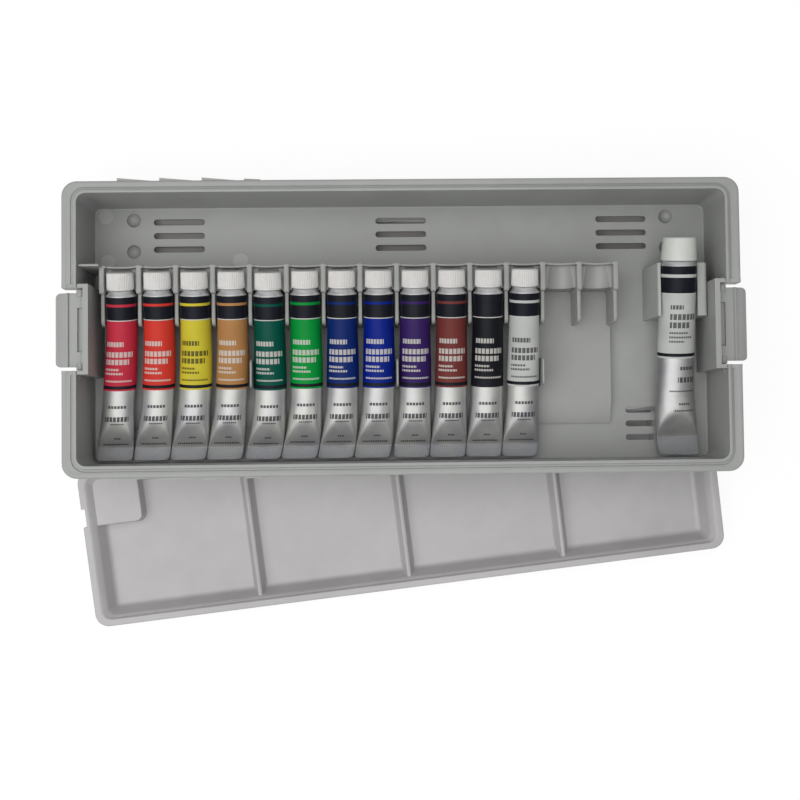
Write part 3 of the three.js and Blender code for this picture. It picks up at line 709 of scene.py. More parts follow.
class PAINTBOX_OT_tray(bpy.types.Operator):
    """Adds the moulded tray with its rim, vents, feet, recesses and catches."""

    bl_idname = "paintbox.tray"
    bl_label = "Add Tray"

    def shell(self, size):
        """The tray without its openings, whose two sides follow a profile all round."""
        mouth_length = size.length - 2 * size.end_rim
        mouth_depth = size.depth - 2 * size.side_rim
        end, side = size.end_rim, size.side_rim
        ledge = size.height - RIDGE_RISE
        skirt_low = ledge - 9.0
        wall = 1.9
        outer_corner = 7.5
        inner_corner = 4.5
        rim_round = 1.0
        bead_end = 2.2
        fillet = 0.8
        foot_round = 1.6

        # The skirt and the rim's rounded edge
        outside = [
            (end - 0.4, side - 0.4, outer_corner - 0.4, skirt_low),
            (end, side, outer_corner, skirt_low + 0.4),
            (end, side, outer_corner, ledge - rim_round),
        ]
        for inward, short in quarter_round(4):
            drawn_in = rim_round * inward
            height = ledge - rim_round * short
            outside.append((end - drawn_in, side - drawn_in, outer_corner - drawn_in, height))

        # The bead along the rim, the groove inside it and the ridge round the mouth
        outside += [
            (end - bead_end, side - bead_end, outer_corner - bead_end, ledge),
            (end - bead_end - 0.4, side - bead_end - 0.4, outer_corner - bead_end - 0.3, ledge - 0.25),
            (3.2, 3.2, inner_corner + 2.6, ledge - 0.25),
            (3.0, 3.0, inner_corner + 2.5, ledge - 0.45),
            (2.8, 2.8, inner_corner + 2.4, ledge - 0.8),
            (2.0, 2.0, inner_corner + 1.9, ledge - 0.8),
            (1.75, 1.75, inner_corner + 1.7, ledge - 0.6),
            (1.7, 1.7, inner_corner + 1.7, size.height - 0.35),
            (1.5, 1.5, inner_corner + 1.5, size.height - 0.1),
            (1.2, 1.2, inner_corner + 1.2, size.height),
            (0.4, 0.4, inner_corner + 0.4, size.height),
            (0.1, 0.1, inner_corner + 0.1, size.height - 0.12),
            (0.0, 0.0, inner_corner, size.height - 0.4),
        ]

        # The inner wall down to the floor
        full = size.height - FLOOR_TOP
        for share in (0.3, 0.6, 1 - fillet / full):
            lean = -size.draft * share
            outside.append((lean, lean, inner_corner + lean, size.height - full * share))
        for inward, short in quarter_round(5):
            lean = -size.draft - fillet * inward
            height = FLOOR_TOP + fillet * short
            outside.append((lean, lean, max(inner_corner + lean, 1.2), height))

        # The skirt's inside, the rim's underside, the outer wall and the underside
        inside = [
            (end - 0.4, side - 0.4, outer_corner - 0.4, skirt_low),
            (end - 1.3, side - 1.3, outer_corner - 1.3, skirt_low),
            (end - 1.6, side - 1.6, outer_corner - 1.6, skirt_low + 0.3),
            (end - 1.6, side - 1.6, outer_corner - 1.6, ledge - 2.0),
            (end - 1.9, side - 1.9, outer_corner - 1.9, ledge - 1.8),
            (wall + 0.3, wall + 0.3, inner_corner + wall, ledge - 1.8),
            (wall, wall, inner_corner + wall, ledge - 2.1),
        ]
        low_lean = wall - size.draft
        inside.append((low_lean, low_lean, inner_corner + low_lean, foot_round))
        for inward, short in quarter_round(4):
            lean = low_lean - foot_round * inward
            inside.append((lean, lean, inner_corner + lean, foot_round * short))

        bm = bmesh.new()
        for rings in (outside, inside):
            wall_all_round(bm, mouth_length, mouth_depth, rings)
        bmesh.ops.remove_doubles(bm, verts=bm.verts, dist=0.001)
        return bm

    def additions(self, size):
        """The recess walls, the feet and the catches along both long sides."""
        bm = bmesh.new()
        ledge = size.height - RIDGE_RISE
        half = RECESS_WIDTH / 2 + 2.0
        walls = (
            (RECESS_INNER_X, 161.0, 0.6, size.height - 0.1),
            (RECESS_OUTER_X, size.length / 2 - 0.05, ledge - 8.9, ledge - 0.05),
        )
        for sign in (-1, 1):
            for inner_x, outer_x, low, high in walls:
                left, right = sorted((sign * inner_x, sign * outer_x))
                cube(bm, (left, -half, low), (right, half, high), 0.35)
        for x, y in FOOT_PLACES:
            made = rod(bm, FOOT_RADIUS, -FOOT_HEIGHT, 0.5, 32, "Z", (x, y, 0), FOOT_TOP_RADIUS)
            edges = each_once(edge for vert in made for edge in vert.link_edges)
            rim = [edge for edge in edges if all(vert.co.z < -1 for vert in edge.verts)]
            round_off(bm, rim, 0.5, 3)
        for sign in (-1, 1):
            for i, (length, proud, end_proud) in enumerate(CATCHES):
                x = CATCH_FIRST_X + CATCH_PITCH * i
                self.catch(bm, x, length, proud, end_proud, sign, size)
        return bm

    def catch(self, bm, x, length, proud, end_proud, sign, size):
        """A wedge on the side of the rim that gets thinner to the right."""
        edge = size.depth / 2
        low = size.height - RIDGE_RISE - 8.8
        points = [
            (x, edge - 1.0),
            (x + length, edge - 1.0),
            (x + length, edge + max(end_proud, 0.01)),
            (x, edge + proud),
        ]
        face = bm.faces.new([bm.verts.new((px, sign * py, low)) for px, py in points])
        carry(bm, [face], (0, 0, 7.8))

    def cuts(self, size):
        """What is taken out: recess openings, pin holes, vents and the hollows of the feet."""
        bm = bmesh.new()
        half = RECESS_WIDTH / 2
        for sign in (-1, 1):
            left, right = sorted((sign * RECESS_OUTER_X, sign * (size.length / 2 + 5)))
            cube(bm, (left, -half, -5), (right, half, size.height + 5))
            rod(bm, 1.5, -half - 4, half + 4, 24, "Y", (sign * PIVOT_X, 0, PIVOT_HEIGHT))
        for x, y in VENT_GROUPS:
            for row in (-1, 0, 1):
                rounded_slot(bm, x, y + VENT_PITCH * row, -1.0, 3.0, VENT_LENGTH, VENT_WIDTH)
        for x, y in FOOT_PLACES:
            ball = bmesh.ops.create_uvsphere(bm, u_segments=32, v_segments=16, radius=FOOT_HOLLOW)
            bmesh.ops.scale(bm, vec=(1, 1, 0.86), verts=ball["verts"])
            bmesh.ops.translate(bm, vec=(x, y, FLOOR_TOP), verts=ball["verts"])
        return bm

    def execute(self, context):
        size = context.scene.paintbox_tray
        bm = carve(self.shell(size), self.additions(size), "UNION", own_overlaps=True)
        bm = carve(bm, self.cuts(size), "DIFFERENCE", own_overlaps=True)
        soften(bm, 0.3, 2, 50.0)
        place = tray_matrix()
        material = moulded_plastic("tray_plastic", srgb(*size.colour), 0.44, EJECTOR_MARKS, place)
        put_in_place(bm, "tray", place, material, "case", ["case_tray"])
        return {"FINISHED"}


def divider_x(index):
    """Where the middle of one of the rack's dividers lies."""
    return DIVIDER_FIRST_X + DIVIDER_PITCH * index


class PAINTBOX_OT_rack(bpy.types.Operator):
    """Adds the tube rack: bed, posts, fins, pegs, saddles and scalloped back wall."""

    bl_idname = "paintbox.rack"
    bl_label = "Add Tube Rack"

    def bed(self, bm):
        """The plate that the tubes lie over, with a slope along its front."""
        left, right = divider_x(0) - 2.0, divider_x(BAYS) + 0.8
        rear = POST_FRONT + 2
        points = [(-48.6, RACK_SEAT), (-48.6, RACK_SEAT + 1.0), (-35.7, BED_TOP)]
        points += [(rear, BED_TOP), (rear, RACK_SEAT)]
        face = bm.faces.new([bm.verts.new((left, y, z)) for y, z in points])
        carry(bm, [face], (right - left, 0, 0))

    def divider(self, bm, x, top, fin_top):
        """One post with ears where the back wall meets it, and the lower fin in front of it."""
        post = [(POST_REAR - 0.05, RACK_SEAT), (POST_REAR - 0.05, top)]
        post += arc(POST_FRONT + 1.4, top - 1.4, 1.4, 90, 180, 5)
        post += [(POST_FRONT, RACK_SEAT)]
        blade(bm, post, x - 1.4, x + 1.4, 0.75)
        cube(bm, (x - 2.35, POST_REAR - 1.25, RACK_SEAT), (x + 2.35, POST_REAR, top - 0.1), 0.5, 3)
        fin = [(POST_FRONT + 3, BED_TOP - 1), (POST_FRONT + 3, fin_top)]
        fin += arc(5.4, fin_top - 3.0, 3.0, 90, 180, 8)
        fin += [(2.2, BED_TOP - 1)]
        blade(bm, fin, x - 1.0, x + 1.0, 0.6)

    def peg(self, bm, x, top):
        """A thin plate that stands between two tubes' tails."""
        points = arc(-17.3, top - 2.2, 2.2, 0, 90, 6) + arc(-27.0, top - 2.2, 2.2, 90, 180, 6)
        points += [(-29.4, BED_TOP - 1), (-14.9, BED_TOP - 1)]
        blade(bm, points, x - 0.55, x + 0.55, 0.45)

    def saddles(self):
        """The blocks under the caps, with a leaning round channel in each."""
        blocks = bmesh.new()
        channels = bmesh.new()
        for i in range(BAYS):
            low = (divider_x(i) + 0.2, POST_FRONT + 1.8, RACK_SEAT + 0.2)
            high = (divider_x(i + 1) - 0.2, POST_REAR - 1.3, RACK_SEAT + 22.5)
            cube(blocks, low, high)
            made = rod(channels, 7.15, -6, 22, 64, "Y")
            bmesh.ops.rotate(channels, matrix=Matrix.Rotation(SMALL_TILT, 3, "X"), verts=made)
            place = ((divider_x(i) + divider_x(i + 1)) / 2, SMALL_SHOULDER[0], SMALL_SHOULDER[1])
            bmesh.ops.translate(channels, vec=place, verts=made)
        return carve(blocks, channels, "DIFFERENCE")

    def back_wall(self, bm, rear, top):
        """One thin wall that bows towards each cap and meets the posts."""
        steps = 8
        wall = 0.8
        line = []
        for i in range(BAYS):
            for step in range(steps + (i == BAYS - 1)):
                share = step / steps
                bow = 2.4 * share * (1 - share)
                line.append((divider_x(i) + DIVIDER_PITCH * share, rear - bow))
        front = [bm.verts.new((x, y - wall, RACK_SEAT)) for x, y in line]
        back = [bm.verts.new((x, y, RACK_SEAT)) for x, y in line]
        faces = []
        for i in range(len(line) - 1):
            faces.append(bm.faces.new((front[i], front[i + 1], back[i + 1], back[i])))
        carry(bm, faces, (0, 0, top - 1.2 - RACK_SEAT))

    def execute(self, context):
        size = context.scene.paintbox_rack
        bm = bmesh.new()
        top = RACK_SEAT + size.post_top
        self.bed(bm)
        for i in range(BAYS + 1):
            self.divider(bm, divider_x(i), top, RACK_SEAT + size.fin_top)
        for i in (4, 8, 12):
            self.peg(bm, divider_x(i), RACK_SEAT + 23.7)
        self.back_wall(bm, POST_REAR - 0.05, top)
        cube(bm, (-161.1, POST_REAR - 1.2, RACK_SEAT), (divider_x(0), POST_REAR, RACK_SEAT + 33), 0.35)
        bm = carve(bm, self.saddles(), "UNION", own_overlaps=True)
        soften(bm, 0.3, 2, 50.0)
        place = tray_matrix()
        material = moulded_plastic("rack_plastic", srgb(*size.colour), 0.42, (), place)
        put_in_place(bm, "rack", place, material, "case", ["tube_rack"])
        return {"FINISHED"}


class PAINTBOX_OT_cradle(bpy.types.Operator):
    """Adds the cradle of the large tube."""

    bl_idname = "paintbox.cradle"
    bl_label = "Add Large Tube Cradle"

    def channel(self):
        """What is cut out: a leaning round channel, open above its axis."""
        radius = 9.4
        front, rear = -40, 12
        turn = Matrix.Rotation(LARGE_TILT, 3, "X")
        place = (0, LARGE_SHOULDER[0], LARGE_SHOULDER[1] - RACK_SEAT)
        bm = bmesh.new()
        made = list(rod(bm, radius, front, rear, 96, "Y"))
        bmesh.ops.rotate(bm, matrix=turn, verts=made)
        bmesh.ops.translate(bm, vec=place, verts=made)
        mouth = bmesh.new()
        made = cube(mouth, (-radius, front, 0), (radius, rear, 30))
        bmesh.ops.rotate(mouth, matrix=turn, verts=made)
        bmesh.ops.translate(mouth, vec=place, verts=made)
        return carve(bm, mouth, "UNION")

    def execute(self, context):
        size = context.scene.paintbox_rack
        top = size.cradle_top
        points = [(-13.3, 0.0), (14.4, 0.0)]
        points += arc(12.6, top - 1.8, 1.8, 0, 90, 6)
        points += arc(-9.9, top - 1.1, 1.1, 90, 174, 5)
        bm = bmesh.new()
        section_bar(bm, points, 5.2, 32.2)
        ends = [
            edge
            for edge in bm.edges
            if abs(edge.verts[0].co.y - edge.verts[1].co.y) < 1e-6
            and max(vert.co.z for vert in edge.verts) > 0.01
            and min(abs(vert.co.x) for vert in edge.verts) > 10.2
        ]
        round_off(bm, ends, 1.7, 5, clamp=True)
        bm = carve(bm, self.channel(), "DIFFERENCE")
        soften(bm, 0.4, 3, 50.0)
        matrix = tray_matrix() @ Matrix.Translation((LARGE_TUBE_X * MM, 0, RACK_SEAT * MM))
        material = moulded_plastic("cradle_plastic", srgb(*size.cradle_colour), 0.42, (), tray_matrix())
        nodes = ["large_tube_cradle"]
        put_in_place(bm, "cradle", matrix, material, "case", nodes)
        return {"FINISHED"}


class PAINTBOX_OT_latches(bpy.types.Operator):
    """Adds both latches: a clip with a slotted top, a barb, a curled lip and two pins."""

    bl_idname = "paintbox.latches"
    bl_label = "Add Latches"

    def clip(self):
        """The latch lying open: +X points away from the tray, and the pins lie along Y."""
        reach = 13.2
        half_width = 18.45
        corner = 3.4
        pin_radius, pin_end = 1.2, 22.2
        knuckle_radius, knuckle_start, knuckle_end = 1.9, 16.6, 19.9
        slot_half_length, slot_half_width, web_top = 11, 1.25, -0.65
        lower = [(-2.0, -1.0), (6.6, -1.0), (9.0, -1.5), (10.8, -2.6), (11.6, -4.0)]
        lip = [(reach, -3.9), (12.9, -2.6), (12.2, -1.6), (11.0, -0.7), (9.4, 0.0), (7.6, 0.5)]
        barb = [(6.9, 0.7), (6.5, 2.0), (5.7, 2.1), (5.2, 1.0), (-2.0, 1.0)]
        bm = bmesh.new()
        section_bar(bm, lower + lip + barb, -half_width, half_width)

        # The lip's two corners are rounded by what a long rounded block leaves of the clip
        block = bmesh.new()
        block_length = 60.0
        skin(block, [outline(block, block_length, 2 * half_width, corner, z) for z in (-8.0, 8.0)])
        bmesh.ops.translate(block, vec=(reach - block_length / 2, 0, 0), verts=block.verts)
        bm = carve(bm, block, "INTERSECT")

        knuckles = bmesh.new()
        rod(knuckles, pin_radius, -pin_end, pin_end, 24, "Y")
        for sign in (-1, 1):
            low, high = sorted((sign * knuckle_start, sign * knuckle_end))
            rod(knuckles, knuckle_radius, low, high, 24, "Y")
        bm = carve(bm, knuckles, "UNION", own_overlaps=True)
        slot = bmesh.new()
        low = (-slot_half_width, -slot_half_length, web_top)
        cube(slot, low, (slot_half_width, slot_half_length, 4))
        bm = carve(bm, slot, "DIFFERENCE")
        soften(bm, 0.32, 2, 35.0)
        return bm

    def execute(self, context):
        colour = context.scene.paintbox_tray.colour
        material = moulded_plastic("latch_plastic", srgb(*colour), 0.40, (), tray_matrix())
        for name, turn in (("latch_left", math.pi), ("latch_right", 0.0)):
            place = Matrix.Translation(Vector(JOINTS[f"{name}_swing"]["pos_m"]))
            matrix = place @ tray_matrix().to_3x3().to_4x4() @ Matrix.Rotation(turn, 4, "Z")
            piece_name = name.replace("latch", "clip")
            put_in_place(self.clip(), piece_name, matrix, material, name, [name])
        return {"FINISHED"}


# The tubes' sizes. All lengths run down from the shoulder. A row of bars or notes is its start,
# its height, its left and right ends across the tube, and the pitch of its blocks.
SMALL_TUBE = {
    "radius": 7.65,
    "waist": 8.3,
    "sag": 2.3,
    "body": SMALL_BODY,
    "shoulder": 3.0,
    "neck": 5.8,
    "nozzle": 4.2,
    "nozzle_length": 7.3,
    "straight": 10.0,
    "arch": 62.5,
    "tail_width": 18.55,
    "tail_thickness": 1.4,
    "crimp": 6.2,
    "label": 47.5,
    "band": 11.4,
    "bars": [
        (22.3, 2.4, -7.4, 2.4, 1.5),
        (27.4, 2.7, -7.4, 7.3, 2.0),
        (31.2, 2.7, -7.4, 5.2, 2.0),
        (35.9, 1.1, -7.4, 0.4, 1.3),
        (38.0, 1.1, -7.4, 2.2, 1.3),
        (42.0, 0.9, -7.4, 7.0, 0.9),
    ],
    "notes": [
        (55.2, 1.5, -4.6, 4.6, 1.5),
        (61.0, 2.6, -5.8, 6.0, 1.7),
        (64.6, 0.7, -2.8, 3.8, 0.9),
        (72.6, 0.9, -0.8, 2.2, 0.9),
        (75.9, 0.9, -5.8, 6.0, 1.0),
    ],
    "bar_colour": srgb(0.74, 0.73, 0.71),
}
LARGE_TUBE = {
    "radius": 9.1,
    "waist": 9.5,
    "sag": 2.6,
    "body": LARGE_BODY,
    "shoulder": 2.4,
    "neck": 8.0,
    "nozzle": 5.5,
    "nozzle_length": 9.7,
    "straight": 42.0,
    "arch": 74.0,
    "tail_width": 21.7,
    "tail_thickness": 1.6,
    "tail_shift": 3.4,
    "lean_power": 3.0,
    "crimp": 9.2,
    "label": 46.8,
    "band": 13.5,
    "bars": [
        (19.5, 2.2, -5.6, 1.0, 1.6),
        (24.0, 3.0, -5.6, 8.6, 2.2),
        (28.2, 3.0, -5.6, 5.0, 2.2),
        (33.2, 1.0, -5.6, 4.0, 1.2),
        (35.4, 1.0, -5.6, 6.0, 1.2),
        (37.6, 1.0, -5.6, 2.0, 1.2),
    ],
    "notes": [
        (51.0, 1.8, 0.5, 8.5, 1.6),
        (56.5, 2.8, -0.5, 9.5, 2.0),
        (63.4, 0.8, -4.5, 9.0, 0.9),
        (70.0, 1.1, 0.0, 6.0, 1.1),
        (73.6, 0.9, -2.0, 8.0, 1.0),
    ],
    "bar_colour": srgb(0.12, 0.12, 0.14),
}

# How far each small tube's tail leans to the left, and how late on its way down it starts to:
# a tube that lies just right of a peg stays straight for longer.
SMALL_TAILS = [
    (-7.6, 1.3),
    (-7.3, 2.0),
    (-7.0, 2.2),
    (-6.7, 2.2),
    (-5.6, 4.0),
    (-5.2, 4.0),
    (-4.8, 4.0),
    (-4.4, 4.0),
    (-2.4, 4.0),
    (-2.1, 4.0),
    (-1.8, 4.0),
    (-1.5, 4.0),
]

# How much further back each small tube lies than its solid does
SMALL_SLIDES = [0.6, 0.9, 0.9, 0.9, 0.2, 0.9, 0.9, 0.9, 0.8, 0.8, 0.7, 0.9]

PAINTS = [
    ("crimson", srgb(0.69, 0.17, 0.24)),
    ("red_orange", srgb(0.76, 0.21, 0.17)),
    ("yellow", srgb(0.75, 0.70, 0.20)),
    ("ochre", srgb(0.64, 0.46, 0.28)),
    ("deep_green", srgb(0.0, 0.29, 0.24)),
    ("green", srgb(0.0, 0.53, 0.21)),
    ("dark_blue", srgb(0.04, 0.14, 0.39)),
    ("ultramarine", srgb(0.02, 0.12, 0.49)),
    ("violet", srgb(0.19, 0.11, 0.34)),
    ("red_brown", srgb(0.41, 0.19, 0.18)),
    ("black", srgb(0.08, 0.09, 0.11)),
    ("white", srgb(0.71, 0.72, 0.71)),
]

# Dark print shows better on these two
PALE_PAINTS = ("white", "yellow")
DARK_PRINT = srgb(0.10, 0.10, 0.11)

# The screw caps: radii at both ends, length, bore, and how deep their ribs are cut
SMALL_CAP = {"base": 6.85, "top": 6.6, "length": 8.8, "bore": 4.5, "bore_depth": 7.4, "depth": 0.3}
LARGE_CAP = {"base": 9.0, "top": 8.3, "length": 11.8, "bore": 5.8, "bore_depth": 9.8, "depth": 0.0}
LARGE_CAP_SIDES = 24
LARGE_CAP_TINT = (0.96, 0.98, 0.965)

# The radius of a tail's two corners
TAIL_ROUND = 2.0


def tube_body(size, seed):
    """A tube spun from its outline, then flattened to a folded tail and lightly dented."""
    bm = bmesh.new()
    tip = size["shoulder"] + size["nozzle_length"]
    rings = 54
    steps_round = 72
    outline_points = [
        (0.0, tip),
        (size["nozzle"] - 0.3, tip),
        (size["nozzle"], tip - 0.3),
        (size["nozzle"], size["shoulder"] + 0.2),
        (size["neck"] - 0.4, size["shoulder"]),
        (size["neck"], size["shoulder"] - 0.25),
        (size["radius"] - 0.55, 0.75),
        (size["radius"] - 0.1, 0.35),
        (size["radius"], 0.0),
    ]
    even_end = size["body"] - TAIL_ROUND
    for i in range(1, rings + 1):
        outline_points.append((size["radius"], -even_end * i / rings))
    for share in (0.4, 0.7, 0.88, 0.97, 1.0):
        outline_points.append((size["radius"], -even_end - TAIL_ROUND * share))
    outline_points.append((0.0, -size["body"]))
    verts = [bm.verts.new((x, y, 0)) for x, y in outline_points]
    edges = [bm.edges.new(pair) for pair in zip(verts, verts[1:])]
    bmesh.ops.spin(
        bm,
        geom=verts + edges,
        cent=(0, 0, 0),
        axis=(0, 1, 0),
        dvec=(0, 0, 0),
        angle=2 * math.pi,
        steps=steps_round,
        use_merge=True,
    )
    bmesh.ops.remove_doubles(bm, verts=bm.verts, dist=0.001)
    layer = bm.loops.layers.uv.new("wrap")
    for face in bm.faces:
        centre = face.calc_center_median()
        middle = math.atan2(centre.x, centre.z)
        for loop in face.loops:
            place = loop.vert.co
            angle = math.atan2(place.x, place.z) if place.xz.length > 0.01 else middle
            while angle - middle > math.pi:
                angle -= 2 * math.pi
            while middle - angle > math.pi:
                angle += 2 * math.pi
            loop[layer].uv = (0.5 + angle / (2 * math.pi), -place.y / WRAP_LENGTH)
    for vert in bm.verts:
        flatten(vert, size, seed)
    return bm


def flatten(vert, size, seed):
    """Moves one point of a round tube to where it lies on the flattened and dented one."""
    soft_height = 0.10
    crease_height = 0.22
    down = -vert.co.y
    radius = size["radius"]
    crimp_start = size["body"] - size["crimp"]

    # The section gets wider and lower towards the tail, whose corners are round
    half_width = radius + (size["waist"] - radius) * smooth(down, 8.0, size["label"])
    half_width += (size["tail_width"] / 2 - size["waist"]) * smooth(down, size["label"] + 6, crimp_start)
    corner = min(max((down - size["body"] + TAIL_ROUND) / TAIL_ROUND, 0.0), 1.0)
    half_width -= TAIL_ROUND * (1 - math.sqrt(1 - corner * corner))
    half_height = radius - size["sag"] * smooth(down, 16.0, crimp_start - 4)

    # Two sloping planes press the section flat, and a soft edge is left where they meet it
    fold = smooth(down, crimp_start - 0.6, crimp_start + 0.2)
    tail = size["tail_thickness"] / 2 * (0.62 + 0.38 * fold)
    ramp = max((crimp_start - down) / (crimp_start - size["arch"]), 0.0)
    lid = tail + (half_height * 1.03 - tail) * ramp
    x = vert.co.x / radius * half_width
    z = vert.co.z / radius * half_height
    height = abs(z)
    blend = min(0.8, lid * 0.7)
    nearer = min(max(0.5 + 0.5 * (lid - height) / blend, 0.0), 1.0)
    height = lid * (1 - nearer) + height * nearer - blend * nearer * (1 - nearer)
    z = math.copysign(max(height, 0.0), z) if abs(z) > 1e-6 else 0.0

    # Light dents all over, deeper ones in the bare foil, and none in the crimp
    soft = noise.noise(Vector((vert.co.x * 0.10, down * 0.06, vert.co.z * 0.10 + seed * 7.3)))
    crease = noise.noise(Vector((vert.co.x * 0.30, down * 0.12, seed * 3.1 + vert.co.z * 0.25)))
    away = vert.co.xz.length / radius
    push = soft * soft_height * smooth(down, 3, 14)
    push += crease * crease_height * smooth(down, size["label"], size["arch"])
    push *= away * (1 - 0.85 * smooth(down, crimp_start - 2, crimp_start))

    # The tail leans to one side
    share = min(max((down - size["straight"]) / (size["body"] - size["straight"]), 0.0), 1.0)
    length = max(math.hypot(vert.co.x, vert.co.z), 0.001)
    lean = size["tail_shift"] * share ** size["lean_power"]
    vert.co.x = x + lean + push * 0.2 * vert.co.x / length
    vert.co.z = z + push * vert.co.z / length * (0.3 + 0.7 * min(ramp, 1.0))


def cap_body(base, top, length, bore, bore_depth, ribs, depth):
    """A cap on the Y axis, open at Y = 0: ribs round its side, a rounded end and a hollow."""
    bm = bmesh.new()
    count = ribs * 4
    side = length - 1.0
    rings = [
        (bore, bore_depth, 0.0),
        (bore, 0.25, 0.0),
        (bore + 0.25, 0.0, 0.0),
        (base - 0.3, 0.0, 0.0),
        (base, 0.3, 0.0),
        (base - 0.02, 0.75, 0.0),
        (base - 0.04, 1.0, depth),
        (top + (base - top) * (1 - side / length), side, depth),
        (top - 0.05, side + 0.25, depth * 0.4),
        (top - 0.25, length - 0.3, 0.0),
        (top - 0.7, length - 0.05, 0.0),
        (top - 1.3, length, 0.0),
        (top - 1.9, length - 0.15, 0.0),
    ]
    loops = []
    for radius, y, cut in rings:
        made = bmesh.ops.create_circle(bm, cap_ends=False, segments=count, radius=radius)["verts"]
        for i, vert in enumerate(made):
            if i % 4 > 1:
                vert.co *= (radius - cut) / radius
        turn = Matrix.Rotation(-math.pi / 2, 3, "X")
        bmesh.ops.rotate(bm, matrix=turn, verts=made)
        bmesh.ops.translate(bm, vec=(0, y, 0), verts=made)
        loops.append(each_once(edge for vert in made for edge in vert.link_edges))
    skin(bm, loops)
    return bm


def on_nozzle(matrix, size):
    """The place of a cap on the tube that a matrix puts in place."""
    return matrix @ Matrix.Translation((0, (size["shoulder"] + CAP_GAP) * MM, 0))


class PAINTBOX_OT_small_tubes(bpy.types.Operator):
    """Adds the row of small tubes and their screw caps."""

    bl_idname = "paintbox.small_tubes"
    bl_label = "Add Small Tubes"

    def execute(self, context):
        sizes = context.scene.paintbox_tubes
        white = cap_plastic("cap_plastic", srgb(*sizes.cap_colour))
        turn_from_cap_to_cap = 0.37
        for i in range(sizes.count):
            number = f"{i + 1:02d}"
            paint, colour = PAINTS[i]
            shift, power = SMALL_TAILS[i]
            slide = SMALL_SLIDES[i]
            look = dict(SMALL_TUBE, tail_shift=shift, lean_power=power)
            look["body"] += slide
            look["arch"] += slide
            if paint in PALE_PAINTS:
                look["bar_colour"] = DARK_PRINT
            matrix = tube_matrix(f"turn_cap_{number}", SMALL_TUBE["shoulder"] + CAP_GAP - slide)
            foil = printed_foil(f"foil_{paint}", colour, look, i)
            node = f"tube_{number}"
            bm = tube_body(look, i + 1)
            put_in_place(bm, f"paint_{paint}", matrix, foil, node, [node], 60, False)
            cap = cap_body(ribs=sizes.cap_ribs, **SMALL_CAP)
            place = on_nozzle(matrix, SMALL_TUBE) @ Matrix.Rotation(turn_from_cap_to_cap * i, 4, "Y")
            node = f"cap_{number}"
            put_in_place(cap, f"lid_{number}", place, white, node, [node], 40, False)
        return {"FINISHED"}


class PAINTBOX_OT_large_tube(bpy.types.Operator):
    """Adds the large tube and its smooth screw cap."""

    bl_idname = "paintbox.large_tube"
    bl_label = "Add Large Tube"

    def execute(self, context):
        sizes = context.scene.paintbox_tubes
        matrix = tube_matrix("turn_cap_large", LARGE_TUBE["shoulder"] + CAP_GAP)
        foil = printed_foil("foil_large", PAINTS[-1][1], LARGE_TUBE, 20)
        node = "large_tube"
        bm = tube_body(LARGE_TUBE, 21)
        put_in_place(bm, "paint_large", matrix, foil, node, [node], 60, False)
        colour = [channel * share for channel, share in zip(sizes.cap_colour, LARGE_CAP_TINT)]
        white = cap_plastic("large_cap_plastic", srgb(*colour))
        cap = cap_body(ribs=LARGE_CAP_SIDES, **LARGE_CAP)
        place = on_nozzle(matrix, LARGE_TUBE)
        node = "large_tube_cap"
        put_in_place(cap, "lid_large", place, white, node, [node], 40, False)
        return {"FINISHED"}


